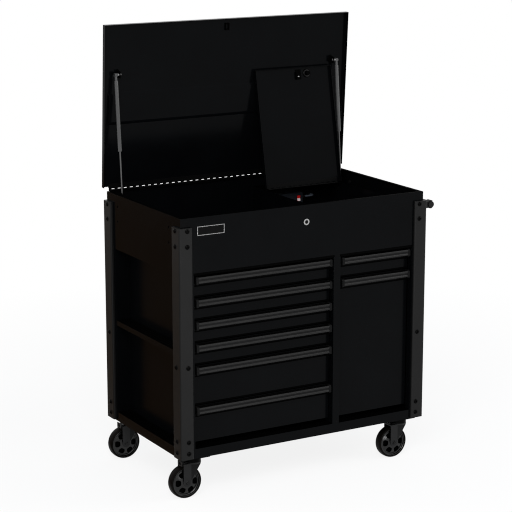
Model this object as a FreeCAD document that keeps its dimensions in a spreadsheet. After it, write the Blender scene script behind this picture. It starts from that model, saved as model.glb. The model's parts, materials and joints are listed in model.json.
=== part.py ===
"""Service cart: a deep lidded tray over two columns of drawers, on four casters.

Millimetres, +Z up. The parts are drawn in the cart's own frame, where x = 0 is the middle of the
box, y = 0 its front face and z = 0 the floor, or in a moving part's frame (lid, inner lid, strut,
caster). place() then sets each one where it belongs, with the origin under the middle of the
whole cart. Both lids stand open.
"""
import FreeCAD, Part
import os
import re
import Sketcher

# The driving dimensions. Every one is a cell of the sheet.
SIZES = {
    # the box
    "width": 1058, "depth": 611, "rim": 1072.7, "wall": 1.5, "rim_fold": 12,
    "base_low": 161, "base_high": 198, "panel_low": 858,
    # face frame: jambs at the sides, the mullion at the right column's left edge
    "left_jamb": 54, "right_column": 375, "mullion": 30, "right_jamb": 48, "jamb_return": 25,
    # side bay, set in from the box's front and back
    "bay_front": 62, "bay_behind": 63, "bay_deep": 56, "shelf_low": 552.4, "shelf_lip": 20,
    "slot_tall": 9, "slot_wide": 7, "slot_back": 14, "slot_low": 262, "slot_pitch": 75,
    # caster seats under the base
    "seat_long": 128, "seat_wide": 104, "seat_thick": 3,
    # corner posts
    "proud": 11, "post_front": 55, "post_side": 62, "post_low": 165, "post_high": 1038.4,
    "post_wall": 2, "post_round": 6,
    # bolts of the posts
    "bolt_in": 33.4, "bolt_head": 9, "bolt_tall": 4, "bolt_shank": 4, "bolt_end": 3,
    "bolt_z1": 1027.1, "bolt_z2": 969.6, "bolt_z3": 516.6, "bolt_z4": 231.3, "bolt_z5": 187.7,
    "hole_gap": 0.2,
    # accessory holes of the upper side panels, which also carry the handle
    "mount_in": 91.5, "mount_drop": 57.4, "mount_mid": 998.35, "mount_hole": 4.25,
    # push handle
    "handle_out": 95, "handle_bar": 12.5, "handle_over": 15, "arm_thick": 22, "arm_root": 36,
    "foot_tall": 92, "foot_wide": 34, "foot_thick": 4, "collar": 4,
    # lid; its axis is given from the box's rear top edge
    "hinge_back": 3, "hinge_up": 3, "lean": 3.37, "lid_over": 15.25, "lid_front": 27.54,
    "lid_start": 10.74, "lid_in": 8.95, "lid_flange": 19,
    "hat_low": 253.7, "hat_high": 379.7, "hat_deep": 8, "hat_end": 23, "hat_slope": 14,
    "keeper_wide": 20, "keeper_below": 5.3, "keeper_tall": 28, "keeper_x": -10,
    "tongue_wide": 14, "tongue_thick": 2, "tongue_deep": 26, "tongue_clear": 2,
    "notch_low": 4, "notch_tall": 5, "notch_wide": 11,
    # piano hinge of the lid
    "knuckles": 40, "pitch": 26.3, "knuckle_long": 11.3, "knuckle_r": 3, "pin_r": 1.5,
    "window": 8, "leaf": 1.2, "leaf_grip": 14, "leaf_drop": 30, "hinge_gap": 0.3, "pin_gap": 0.05,
    # gas struts, set in from the box's sides, and their lower pivots from its back
    "strut_left": 30, "strut_right": 37, "ball_off": 20.2, "ball_up": 450.8,
    "pivot_in": 81, "pivot_up": 1002.3, "tube_long": 291, "tube_r": 7.5, "tube_wall": 1.2,
    "gland": 14, "cap_long": 22, "cap_r": 5, "rod_r": 3, "eye_r": 7, "eye_wide": 12, "stud_r": 4,
    "stud_in": 25, "stud_nut": 3, "nut_r": 6.5, "nut_thick": 5, "piston_in": 62,
    "pivot_gap": 0.3, "plate_in": 16.5, "plate_half": 16, "plate_tall": 42,
    "plate_thick": 2.5, "ear_thick": 3, "ear_tall": 26,
    # inner compartment, measured like all in it from the box's right side
    "comp_left": 409.6, "comp_right": 51.7, "comp_top": 1031.5, "comp_flange": 18,
    "front_ledge": 21,
    # inner lid
    "inner_behind": 110.5, "lids_gap": 5.5156, "inner_x1": 412, "inner_x2": 59,
    "inner_front": 23.5, "inner_start": 3.5, "inner_flange": 15,
    "inner_knuckles": 13, "inner_r": 2.5, "inner_pin": 1.2, "inner_window": 6.5,
    "catch_x": 223, "catch_drop": 28, "catch_wide": 26, "catch_tall": 40, "catch_deep": 9,
    "ring_x": 170, "ring_drop": 25, "ring_r": 18, "ring_thick": 4, "barrel_r": 9.5,
    "barrel_long": 14,
    # power strip
    "strip_left": 399, "strip_right": 199, "strip_top": 994, "strip_tall": 50, "strip_deep": 43.5,
    "rocker_x": 219, "rocker_z": 971, "rocker_wide": 14, "rocker_tall": 25, "rocker_deep": 12,
    "rocker_gap": 0.3, "rocker_pin": 1.2, "rocker_in": 3,
    "outlet_r": 17, "outlet_deep": 5, "outlet_first": 45, "outlet_pitch": 60,
    "lead_r": 4, "lead_z": 974, "lead_out": 34, "lead_back": 30, "lead_bend": 26,
    "grommet_r": 9, "grommet_rim": 12, "grommet_long": 9, "bush_long": 16, "bush_r": 6.5,
    # front lock
    "lock_z": 1008, "lock_r": 12, "lock_face": 3, "lock_plug": 7, "lock_deep": 22,
    "lock_nut": 15, "cam_long": 20, "cam_thick": 2, "key_wide": 2, "key_tall": 8,
    "bar_left": 31, "bar_right": 14, "bar_thick": 2, "bar_low": 975, "bar_tall": 56,
    "finger_wide": 11, "guide_tall": 6, "guide_left": 35, "guide_right": 35, "guide_short": 10,
    # badge plate
    "badge_left": 68, "badge_wide": 112, "badge_low": 1004.6, "badge_tall": 34, "badge_thick": 2,
    # drawers
    "front_recess": 26, "front_gap": 3, "top_gap": 6, "shallow": 85.5, "deep": 154,
    "low_gap": 19, "drawer_behind": 38.5, "drawer_lift": 6, "drawer_drop": 12,
    "slide_wide": 12.7, "slide_tall": 36, "slide_behind": 26, "slide_gap": 0.3, "slide_up": 36,
    "slide_start": 30, "upright_long": 40, "upright_first": 60, "upright_behind": 101,
    # pulls
    "pull_tall": 32, "pull_deep": 25.5, "pull_wall": 2.5, "pull_left": 10, "pull_right": 5,
    "pull_slope": 8, "pull_lip": 5, "pull_hook": 9, "pull_cap": 10,
    # casters
    "caster_in": 66, "caster_ahead": 46.2, "trail": 34, "wheel_r": 63.5, "tyre_wide": 34,
    "tyre_thick": 6.5, "crown": 2.6, "rim_wide": 31, "web_thick": 9, "hub_r": 15, "hub_wide": 39,
    "window_at": 33, "window_r": 8.5, "axle_r": 5, "axle_head": 7, "axle_head_long": 5,
    "plate_long": 104, "plate_wide": 84, "plate_deep": 4, "race_r": 31.5, "race_gap": 0.3,
    "fork_gap": 43, "fork_leg": 3.5, "fork_top": 140, "fork_under": 134, "fork_ahead": 29,
    "fork_foot": 17, "king_r": 6, "king_head": 10, "king_tall": 4,
    "pedal_wide": 33, "pedal_tall": 19, "pedal_thick": 3, "pedal_low": 126.5, "pedal_back": 54,
    "pedal_hole_wide": 15, "pedal_hole_tall": 11, "pedal_pin": 2, "pedal_arm": 3,
    "pedal_pin_back": 38, "pedal_arm_tall": 8, "lug_thick": 4,
}

# What follows from them, in the same words.
FOLLOWS = {
    "left_side": "-width / 2",
    "right_side": "width / 2",
    "origin_x": "(handle_x + handle_bar + min(swivel_x - trail - wheel_r; -lid_half)) / 2",
    "origin_y": "depth / 2",
    "inside_left": "left_side + wall",
    "inside_right": "right_side - wall",
    "open1_low": "left_side + left_jamb",
    "open2_low": "right_side - right_column",
    "open1_high": "open2_low - mullion",
    "open2_high": "right_side - right_jamb",
    "floor_low": "panel_low + wall",
    "floor_high": "floor_low + wall",
    "bay_wall": "left_side + bay_deep",
    "bay_back": "depth - bay_behind",
    "post_x": "left_side - proud",
    "mount_y2": "depth - mount_in",
    "mount_z1": "mount_mid - mount_drop / 2",
    "mount_z2": "mount_mid + mount_drop / 2",
    "handle_x": "right_side + handle_out",
    "hinge_y": "depth + hinge_back",
    "hinge_z": "rim + hinge_up",
    "hinge_long": "(knuckles - 1) * pitch + knuckle_long",
    "lid_half": "width / 2 + lid_over",
    "lid_top": "depth + hinge_back + lid_front",
    "lid_out": "lid_in + wall",
    "ball_local": "lid_in - ball_off",
    "ball_y": "hinge_y + ball_local * cos(lean) - ball_up * sin(lean)",
    "ball_z": "hinge_z + ball_local * sin(lean) + ball_up * cos(lean)",
    "strut_rest": "hypot(ball_y - pivot_back; ball_z - pivot_up)",
    "strut_lean": "atan((ball_y - pivot_back) / (ball_z - pivot_up))",
    "strut_x1": "left_side + strut_left",
    "strut_x2": "right_side - strut_right",
    "pivot_back": "depth - pivot_in",
    "comp_x1": "right_side - comp_left",
    "comp_x2": "right_side - comp_right",
    "inner_z": "comp_top + inner_r",
    "inner_back": "depth - inner_behind",
    "inner_left": "right_side - inner_x1",
    "inner_right": "right_side - inner_x2",
    "inner_mid": "(inner_left + inner_right) / 2",
    "inner_top": "inner_back - inner_front",
    "lids_apart": "(hinge_y - inner_back) * cos(lean) + (hinge_z - inner_z) * sin(lean) + lid_in",
    "inner_lean": "asin((lids_apart - lids_gap) / inner_top) - lean * 1 deg",
    "catch_up": "inner_top - catch_drop",
    "ring_up": "inner_top - ring_drop",
    "inner_hinge": "(inner_knuckles - 1) * pitch + knuckle_long",
    "strip_y": "depth - wall - strip_deep",
    "strip_x": "right_side - strip_left",
    "rocker_at": "right_side - rocker_x",
    "lead_x": "right_side - strip_right",
    "hole_r": "bolt_shank + hole_gap",
    "front_y": "front_recess + wall",
    "first_top": "panel_low - top_gap",
    "last_low": "base_high + low_gap",
    "drawer_y": "depth - drawer_behind",
    "slide_y": "depth - slide_behind",
    "upright_last": "depth - upright_behind",
    "swivel_x": "left_side + caster_in",
    "tongue_at": "hinge_y - rim_fold - tongue_clear",
    "keeper_low": "tongue_at - keeper_below",
    "notch_z": "hinge_z + lid_in - tongue_deep + notch_low",
    "bar_y": "lock_deep + cam_thick + 2",
    "crown_z": "(fork_under + fork_top) / 2",
    "pedal_inside": "pedal_wide / 2 - pedal_arm",
}

WORD = re.compile(r"[a-z][a-z_0-9]*")
POST_LEVELS = ("bolt_z1", "bolt_z2", "bolt_z3", "bolt_z4", "bolt_z5")
TURN_X = "rotation(vector(1; 0; 0); -90)"
TURN_Y = "rotation(vector(0; 1; 0); 90)"
NO_TURN = "rotation(vector(0; 0; 1); 0)"

doc = FreeCAD.newDocument("ServiceCart")
sheet = doc.addObject("Spreadsheet::Sheet", "Sizes")
for row, (word, number) in enumerate(SIZES.items(), start=1):
    sheet.set(f"A{row}", str(number))
    sheet.setAlias(f"A{row}", word)
doc.recompute()
parts = []


def formula(text):
    """The text with each word spelled out as cells of the sheet."""
    def spelled(match):
        word = match.group()
        if word in FOLLOWS:
            return "(" + formula(FOLLOWS[word]) + ")"
        return "Sizes." + word if word in SIZES else word
    return WORD.sub(spelled, str(text))


def size(word):
    """A driving dimension as a number."""
    return float(sheet.get(word))


def bind(item, **formulas):
    """Binds the item's properties to formulas."""
    for name, text in formulas.items():
        item.setExpression(name, formula(text))
    return item


def bind_place(item, x=0, y=0, z=0, turn=NO_TURN):
    """Binds where the item stands."""
    item.setExpression("Placement", formula(f"placement(vector({x}; {y}; {z}); {turn})"))
    return item


def block(name, x, y, z):
    """A box between the low and high formulas on each axis."""
    item = doc.addObject("Part::Box", name)
    bind(item, Length=f"({x[1]}) - ({x[0]})", Width=f"({y[1]}) - ({y[0]})", Height=f"({z[1]}) - ({z[0]})")
    return bind_place(item, x[0], y[0], z[0])


def round_x(name, x, y, z, radius):
    """A cylinder along X from x[0] to x[1]."""
    item = bind(doc.addObject("Part::Cylinder", name), Radius=radius, Height=f"({x[1]}) - ({x[0]})")
    return bind_place(item, x[0], y, z, TURN_Y)


def round_y(name, x, y, z, radius):
    """A cylinder along Y from y[0] to y[1]."""
    item = bind(doc.addObject("Part::Cylinder", name), Radius=radius, Height=f"({y[1]}) - ({y[0]})")
    return bind_place(item, x, y[0], z, TURN_X)


def round_z(name, x, y, z, radius):
    """A cylinder along Z from z[0] to z[1]."""
    item = bind(doc.addObject("Part::Cylinder", name), Radius=radius, Height=f"({z[1]}) - ({z[0]})")
    return bind_place(item, x, y, z[0])


def group(name, items):
    """Separate solids kept together."""
    item = doc.addObject("Part::Compound", name)
    item.Links = list(items)
    return item


def fused(name, items):
    """One solid out of several."""
    item = doc.addObject("Part::MultiFuse", name)
    item.Shapes = list(items)
    item.Refine = True
    return item


def cut(name, base, tools):
    """The base without the tools."""
    item = doc.addObject("Part::Cut", name)
    item.Base = base
    item.Tool = tools[0] if len(tools) == 1 else group(name + "_tools", tools)
    return item


def mirrored(name, item, across):
    """A copy on the other side of the box's middle plane, across X or across Y."""
    copy = doc.addObject("Part::Mirroring", name)
    copy.Source = item
    copy.Normal = FreeCAD.Vector(1, 0, 0) if across == "X" else FreeCAD.Vector(0, 1, 0)
    if across == "Y":
        copy.setExpression("Base.y", formula("origin_y"))
    return copy


def moved(name, item, x=0, y=0, z=0):
    """A copy set somewhere else."""
    return bind_place(group(name, [item]), x, y, z)


def body_with_outline(name, plane, corners):
    """A PartDesign body and a sketch on one of its planes, a closed outline of straight edges."""
    body = doc.addObject("PartDesign::Body", name)
    return body, outline(body, name + "_outline", plane, corners)


def outline(body, name, plane, corners):
    """A closed outline whose corners are bound to formulas."""
    sketch = body.newObject("Sketcher::SketchObject", name)
    flat = [feature for feature in body.Origin.OriginFeatures if feature.Role == plane]
    sketch.AttachmentSupport = [(flat[0], "")]
    sketch.MapMode = "FlatFace"
    probe = doc.addObject("Part::Vertex", name + "_probe")
    spots = []
    for across, up in corners:
        bind(probe, X=across, Y=up)
        probe.recompute()
        spots.append(FreeCAD.Vector(probe.X.Value, probe.Y.Value, 0))
    doc.removeObject(probe.Name)
    count = len(spots)
    for edge in range(count):
        sketch.addGeometry(Part.LineSegment(spots[edge], spots[(edge + 1) % count]), False)
    for edge in range(count):
        sketch.addConstraint(Sketcher.Constraint("Coincident", edge, 2, (edge + 1) % count, 1))
    for edge, (across, up) in enumerate(corners):
        for kind, text, now in (("DistanceX", across, spots[edge].x), ("DistanceY", up, spots[edge].y)):
            number = sketch.addConstraint(Sketcher.Constraint(kind, -1, 1, edge, 1, now))
            sketch.setExpression(f"Constraints[{number}]", formula(text))
    return sketch


def padded(name, plane, corners, length, both_ways=False):
    """A body padded from an outline."""
    body, sketch = body_with_outline(name, plane, corners)
    pad = body.newObject("PartDesign::Pad", name + "_pad")
    pad.Profile = sketch
    bind(pad, Length=length)
    pad.SideType = "Symmetric" if both_ways else "One side"
    return body


def revolved(name, corners):
    """A body turned about its own Z axis from an outline in the XZ plane."""
    body, sketch = body_with_outline(name, "XZ_Plane", corners)
    turned = body.newObject("PartDesign::Revolution", name + "_turned")
    turned.Profile = sketch
    turned.ReferenceAxis = (sketch, ["V_Axis"])
    turned.Angle = 360
    return body


def rounded(body, name, radius, wanted):
    """Rounds the edges of the body's tip that wanted() picks by their middle and direction."""
    doc.recompute()
    base = body.Tip
    names = []
    for number, edge in enumerate(base.Shape.Edges, start=1):
        along = edge.tangentAt(edge.FirstParameter)
        if wanted(edge.CenterOfMass, along):
            names.append(f"Edge{number}")
    fillet = body.newObject("PartDesign::Fillet", name)
    fillet.Base = (base, names)
    bind(fillet, Radius=radius)
    return body


def place(items, node, frame="cart"):
    """Keeps a finished part's solids under its name and stands them in the model's frame."""
    item = group(node, items if isinstance(items, list) else [items])
    item.Label = node
    parts.append(item)
    if frame == "cart":
        return bind_place(item, "-origin_x", "-origin_y", 0)
    if frame == "lid":
        return bind_place(item, "-origin_x", "hinge_y - origin_y", "hinge_z",
                          "rotation(vector(1; 0; 0); lean)")
    if frame == "inner":
        return bind_place(item, "-origin_x", "inner_back - origin_y", "inner_z",
                          "rotation(vector(1; 0; 0); -(inner_lean))")
    side = "strut_x1" if frame == "left strut" else "strut_x2"
    return bind_place(item, f"{side} - origin_x", "ball_y - origin_y", "ball_z",
                      "rotation(vector(1; 0; 0); -strut_lean)")


def post_pairs(name, front, side):
    """A front and a side piece repeated at the five bolt levels of all four posts."""
    pair = group(name + "_pair", [front, side])
    column = group(name + "_column", [moved(f"{name}_{word}", pair, z=word) for word in POST_LEVELS])
    front_two = group(name + "_front", [column, mirrored(name + "_right", column, "X")])
    return group(name + "_all", [front_two, mirrored(name + "_rear", front_two, "Y")])


def make_bolt_holes():
    """Clearance holes for the bolts of the posts, through post and panel."""
    reach = "wall + bolt_end + 1"
    front = round_y("hole_front", "post_x + bolt_in", ("-proud - 1", reach), 0, "hole_r")
    side = round_x("hole_side", ("post_x - 1", f"left_side + {reach}"), "bolt_in - proud", 0, "hole_r")
    return post_pairs("holes", front, side)


def make_bolts():
    """Button-head bolts of the posts and the bolts of the handle."""
    grip = "proud + wall + bolt_end"
    corners = [(0, f"-({grip})"), ("bolt_shank", f"-({grip})"), ("bolt_shank", 0), ("bolt_head", 0),
               ("bolt_head", "bolt_tall * 0.25"), ("bolt_head * 0.8", "bolt_tall * 0.72"),
               ("bolt_head * 0.45", "bolt_tall"), (0, "bolt_tall")]
    bolt = revolved("bolt", corners)
    front = bind_place(group("bolt_front", [bolt]), "post_x + bolt_in", "-proud", 0,
                       "rotation(vector(1; 0; 0); 90)")
    side = bind_place(group("bolt_side", [bolt]), "post_x", "bolt_in - proud", 0,
                      "rotation(vector(0; 1; 0); -90)")
    place(post_pairs("bolts", front, side), "post_bolts")


def mount_holes(name, x):
    """The four accessory holes of a side panel."""
    return [round_x(f"{name}_{number}", x, y, z, "mount_hole") for number, (y, z) in enumerate(
        (y, z) for y in ("mount_in", "mount_y2") for z in ("mount_z1", "mount_z2"))]


def make_box(holes):
    """The sheet panels of the cabinet."""
    full_x = ("left_side", "right_side")
    in_x = ("inside_left", "inside_right")
    in_y = ("wall", "depth - wall")
    tall = ("base_high", "rim")
    fold_z = ("rim - wall", "rim")
    frame = fused("front_sheets", [
        cut("front_open", block("front_sheet", full_x, (0, "wall"), tall),
            [block("front_gap_cut", ("open1_low", "open2_high"), (-1, "wall + 1"),
                   ("base_high - 1", "panel_low"))]),
        block("return_left", ("open1_low - wall", "open1_low"), (0, "jamb_return"),
              ("base_high", "floor_low")),
        block("return_right", ("open2_high", "open2_high + wall"), (0, "jamb_return"),
              ("base_high", "floor_low")),
        block("return_top", ("open1_low - wall", "open2_high + wall"), (0, "jamb_return"),
              ("panel_low", "floor_low")),
        block("front_fold", in_x, (0, "rim_fold"), fold_z)])
    lock_hole = round_y("lock_hole", 0, (-1, "wall + 1"), "lock_z", "lock_plug + 3 + hole_gap")
    place(cut("front", frame, [holes, lock_hole]), "front_frame")

    side_fold_y = ("rim_fold", "depth - rim_fold")
    left = fused("left_sheets", [
        cut("left_open", block("left_sheet", ("left_side", "inside_left"), in_y, tall),
            [block("bay_cut", ("left_side - 1", "inside_left + 1"), ("bay_front", "bay_back"),
                   ("base_high - 1", "panel_low"))]),
        block("left_fold", ("left_side", "left_side + rim_fold"), side_fold_y, fold_z),
        block("left_ledge", ("left_side", "left_side + rim_fold"), ("bay_front", "bay_back"),
              ("panel_low", "floor_low"))])
    left_x = ("left_side - 1", "inside_left + 1")
    place(cut("left", left, [holes] + mount_holes("left_hole", left_x)), "left_side_panel")

    right = fused("right_sheets", [
        block("right_sheet", ("inside_right", "right_side"), in_y, tall),
        block("right_fold", ("right_side - rim_fold", "right_side"), side_fold_y, fold_z),
        block("right_ledge", ("right_side - rim_fold", "right_side"), ("bay_front", "bay_back"),
              ("panel_low", "floor_low"))])
    right_x = ("inside_right - 1", "right_side + 1")
    place(cut("right", right, [holes] + mount_holes("right_hole", right_x)), "right_side_panel")

    rear = fused("rear_sheets", [
        block("rear_sheet", full_x, ("depth - wall", "depth"), tall),
        block("rear_fold", in_x, ("depth - rim_fold", "depth"), fold_z)])
    lead_hole = round_y("lead_hole", "lead_x + lead_out + lead_bend", ("depth - wall - 1", "depth + 1"),
                        "lead_z", "grommet_r")
    place(cut("rear", rear, [holes, lead_hole]), "rear_panel")

    place(block("tray", in_x, in_y, ("floor_low", "floor_high")), "tray_floor")

    place(cut("partition", block("partition_out", ("open1_high", "open2_low"), (0, "depth - wall"),
                                 ("base_high", "panel_low")),
              [block("partition_in", ("open1_high + wall", "open2_low - wall"), ("wall", "depth"),
                     ("base_high - 1", "panel_low + 1"))]), "centre_partition")

    base = fused("base_sheets", [
        cut("base_pan", block("base_out", full_x, (0, "depth"), ("base_low", "base_high")),
            [block("base_in", in_x, in_y, ("base_low - 1", "base_high - wall"))])]
        + caster_seats())
    place(cut("base", base, [holes]), "base_frame")


def caster_seats():
    """The four plates inside the base that the casters are bolted to."""
    seats = []
    for number, (across, ahead) in enumerate(((-1, 0), (1, 0), (-1, 1), (1, 1))):
        x = ("inside_left", "inside_left + seat_long") if across < 0 else (
            "inside_right - seat_long", "inside_right")
        y = ("depth - wall - seat_wide", "depth - wall") if ahead else ("wall", "wall + seat_wide")
        seats.append(block(f"seat_{number}", x, y, ("base_low", "base_low + seat_thick")))
    return seats


def make_bay():
    """The side bay: a pressed liner with slots near its back, and a shelf with both long edges turned down."""
    liner = cut("liner_shell",
                block("liner_out", ("inside_left", "bay_wall + wall"),
                      ("bay_front - wall", "bay_back + wall"), ("base_high", "panel_low")),
                [block("liner_in", ("left_side", "bay_wall"), ("bay_front", "bay_back"),
                       ("base_high - 1", "panel_low - wall"))]
                + [block(f"bay_slot_{number}", ("bay_wall - 1", "bay_wall + wall + 1"),
                         ("bay_back - slot_back - slot_wide", "bay_back - slot_back"),
                         (f"slot_low + {number} * slot_pitch",
                          f"slot_low + {number} * slot_pitch + slot_tall"))
                   for number in range(8)])
    place(liner, "bay_liner")
    place(cut("shelf", block("shelf_out", ("left_side", "bay_wall"), ("bay_front", "bay_back"),
                             ("shelf_low", "shelf_low + shelf_lip")),
              [block("shelf_in", ("left_side + wall", "bay_wall - wall"),
                     ("bay_front - 1", "bay_back + 1"),
                     ("shelf_low - 1", "shelf_low + shelf_lip - wall"))]), "bay_shelf")


def make_posts(holes):
    """Corner posts of folded sheet: two rounded legs, closed top and bottom."""
    def leg_prism(name, inset, low, high):
        corners = [(f"post_x + {inset}", f"{inset} - proud"),
                   (f"post_x + post_front - {inset}", f"{inset} - proud"),
                   (f"post_x + post_front - {inset}", 0), ("left_side", 0),
                   ("left_side", f"post_side - proud - {inset}"),
                   (f"post_x + {inset}", f"post_side - proud - {inset}")]
        body = padded(name, "XY_Plane", corners, f"({high}) - ({low})")
        doc.recompute()
        outer_x = min(vertex.X for vertex in body.Shape.Vertexes) + 0.01
        outer_y = min(vertex.Y for vertex in body.Shape.Vertexes) + 0.01

        def outer(middle, along):
            return abs(along.z) > 0.9 and (middle.x < outer_x or middle.y < outer_y)
        rounded(body, name + "_round", f"post_round - {inset}", outer)
        return bind_place(body, 0, 0, low)

    shell = cut("post_shell", leg_prism("post_skin", "0", "post_low", "post_high"),
                [leg_prism("post_core", "post_wall", "post_low + post_wall",
                           "post_high - post_wall")])
    front_two = group("posts_front", [shell, mirrored("post_right", shell, "X")])
    every = group("posts_all", [front_two, mirrored("posts_rear", front_two, "Y")])
    place(cut("posts", every, [holes]), "corner_posts")


def make_handle():
    """Push handle: a bar in two collared brackets bolted to the accessory holes."""
    pieces = [round_y("handle_bar_round", "handle_x", ("mount_in - handle_over", "mount_y2 + handle_over"),
                      "mount_mid", "handle_bar")]
    for number, y in enumerate(("mount_in", "mount_y2")):
        arm_y = (f"{y} - arm_thick / 2", f"{y} + arm_thick / 2")
        foot = block(f"foot_{number}", ("right_side", "right_side + foot_thick"),
                     (f"{y} - foot_wide / 2", f"{y} + foot_wide / 2"),
                     ("mount_mid - foot_tall / 2", "mount_mid + foot_tall / 2"))
        arm = padded(f"arm_{number}", "XZ_Plane",
                     [("right_side + foot_thick", "mount_mid - arm_root / 2"),
                      ("handle_x", "mount_mid - handle_bar"), ("handle_x", "mount_mid + handle_bar"),
                      ("right_side + foot_thick", "mount_mid + arm_root / 2")], "arm_thick", True)
        bind_place(arm, 0, y, 0)
        collar = round_y(f"collar_{number}", "handle_x", arm_y, "mount_mid", "handle_bar + collar")
        bore = round_y(f"collar_bore_{number}", "handle_x", (f"{y} - arm_thick", f"{y} + arm_thick"),
                       "mount_mid", "handle_bar + pin_gap")
        past = block(f"collar_past_{number}", ("handle_x + handle_bar * 0.6", "handle_x + 2 * handle_bar"),
                     (f"{y} - arm_thick", f"{y} + arm_thick"),
                     ("mount_mid - 2 * handle_bar", "mount_mid + 2 * handle_bar"))
        bolt_holes = [round_x(f"foot_hole_{number}_{spot}", ("right_side - 1", "right_side + foot_thick + 1"),
                              y, z, "mount_hole") for spot, z in enumerate(("mount_z1", "mount_z2"))]
        pieces.append(cut(f"bracket_{number}", fused(f"bracket_solid_{number}", [foot, arm, collar]),
                          [bore, past] + bolt_holes))
        for spot, z in enumerate(("mount_z1", "mount_z2")):
            pieces.append(fused(f"handle_bolt_{number}_{spot}", [
                round_x(f"handle_shank_{number}_{spot}", ("inside_right", "right_side + foot_thick"),
                        y, z, "bolt_shank"),
                round_x(f"handle_head_{number}_{spot}", ("inside_right - bolt_tall", "inside_right"),
                        y, z, "bolt_head * 0.85"),
                round_x(f"handle_nut_{number}_{spot}",
                        ("right_side + foot_thick", "right_side + foot_thick + nut_thick"),
                        y, z, "nut_r")]))
    place(pieces, "push_handle")


def hinge_cuts(name, count, gap_long, first, shift, y, z):
    """Blocks that cut the gaps between the knuckles of a rolled hinge leaf."""
    return [block(f"{name}_{number}", (f"{first} + {number} * pitch", f"{first} + {number} * pitch + {gap_long}"),
                  y, z) for number in range(shift, count)]


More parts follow.
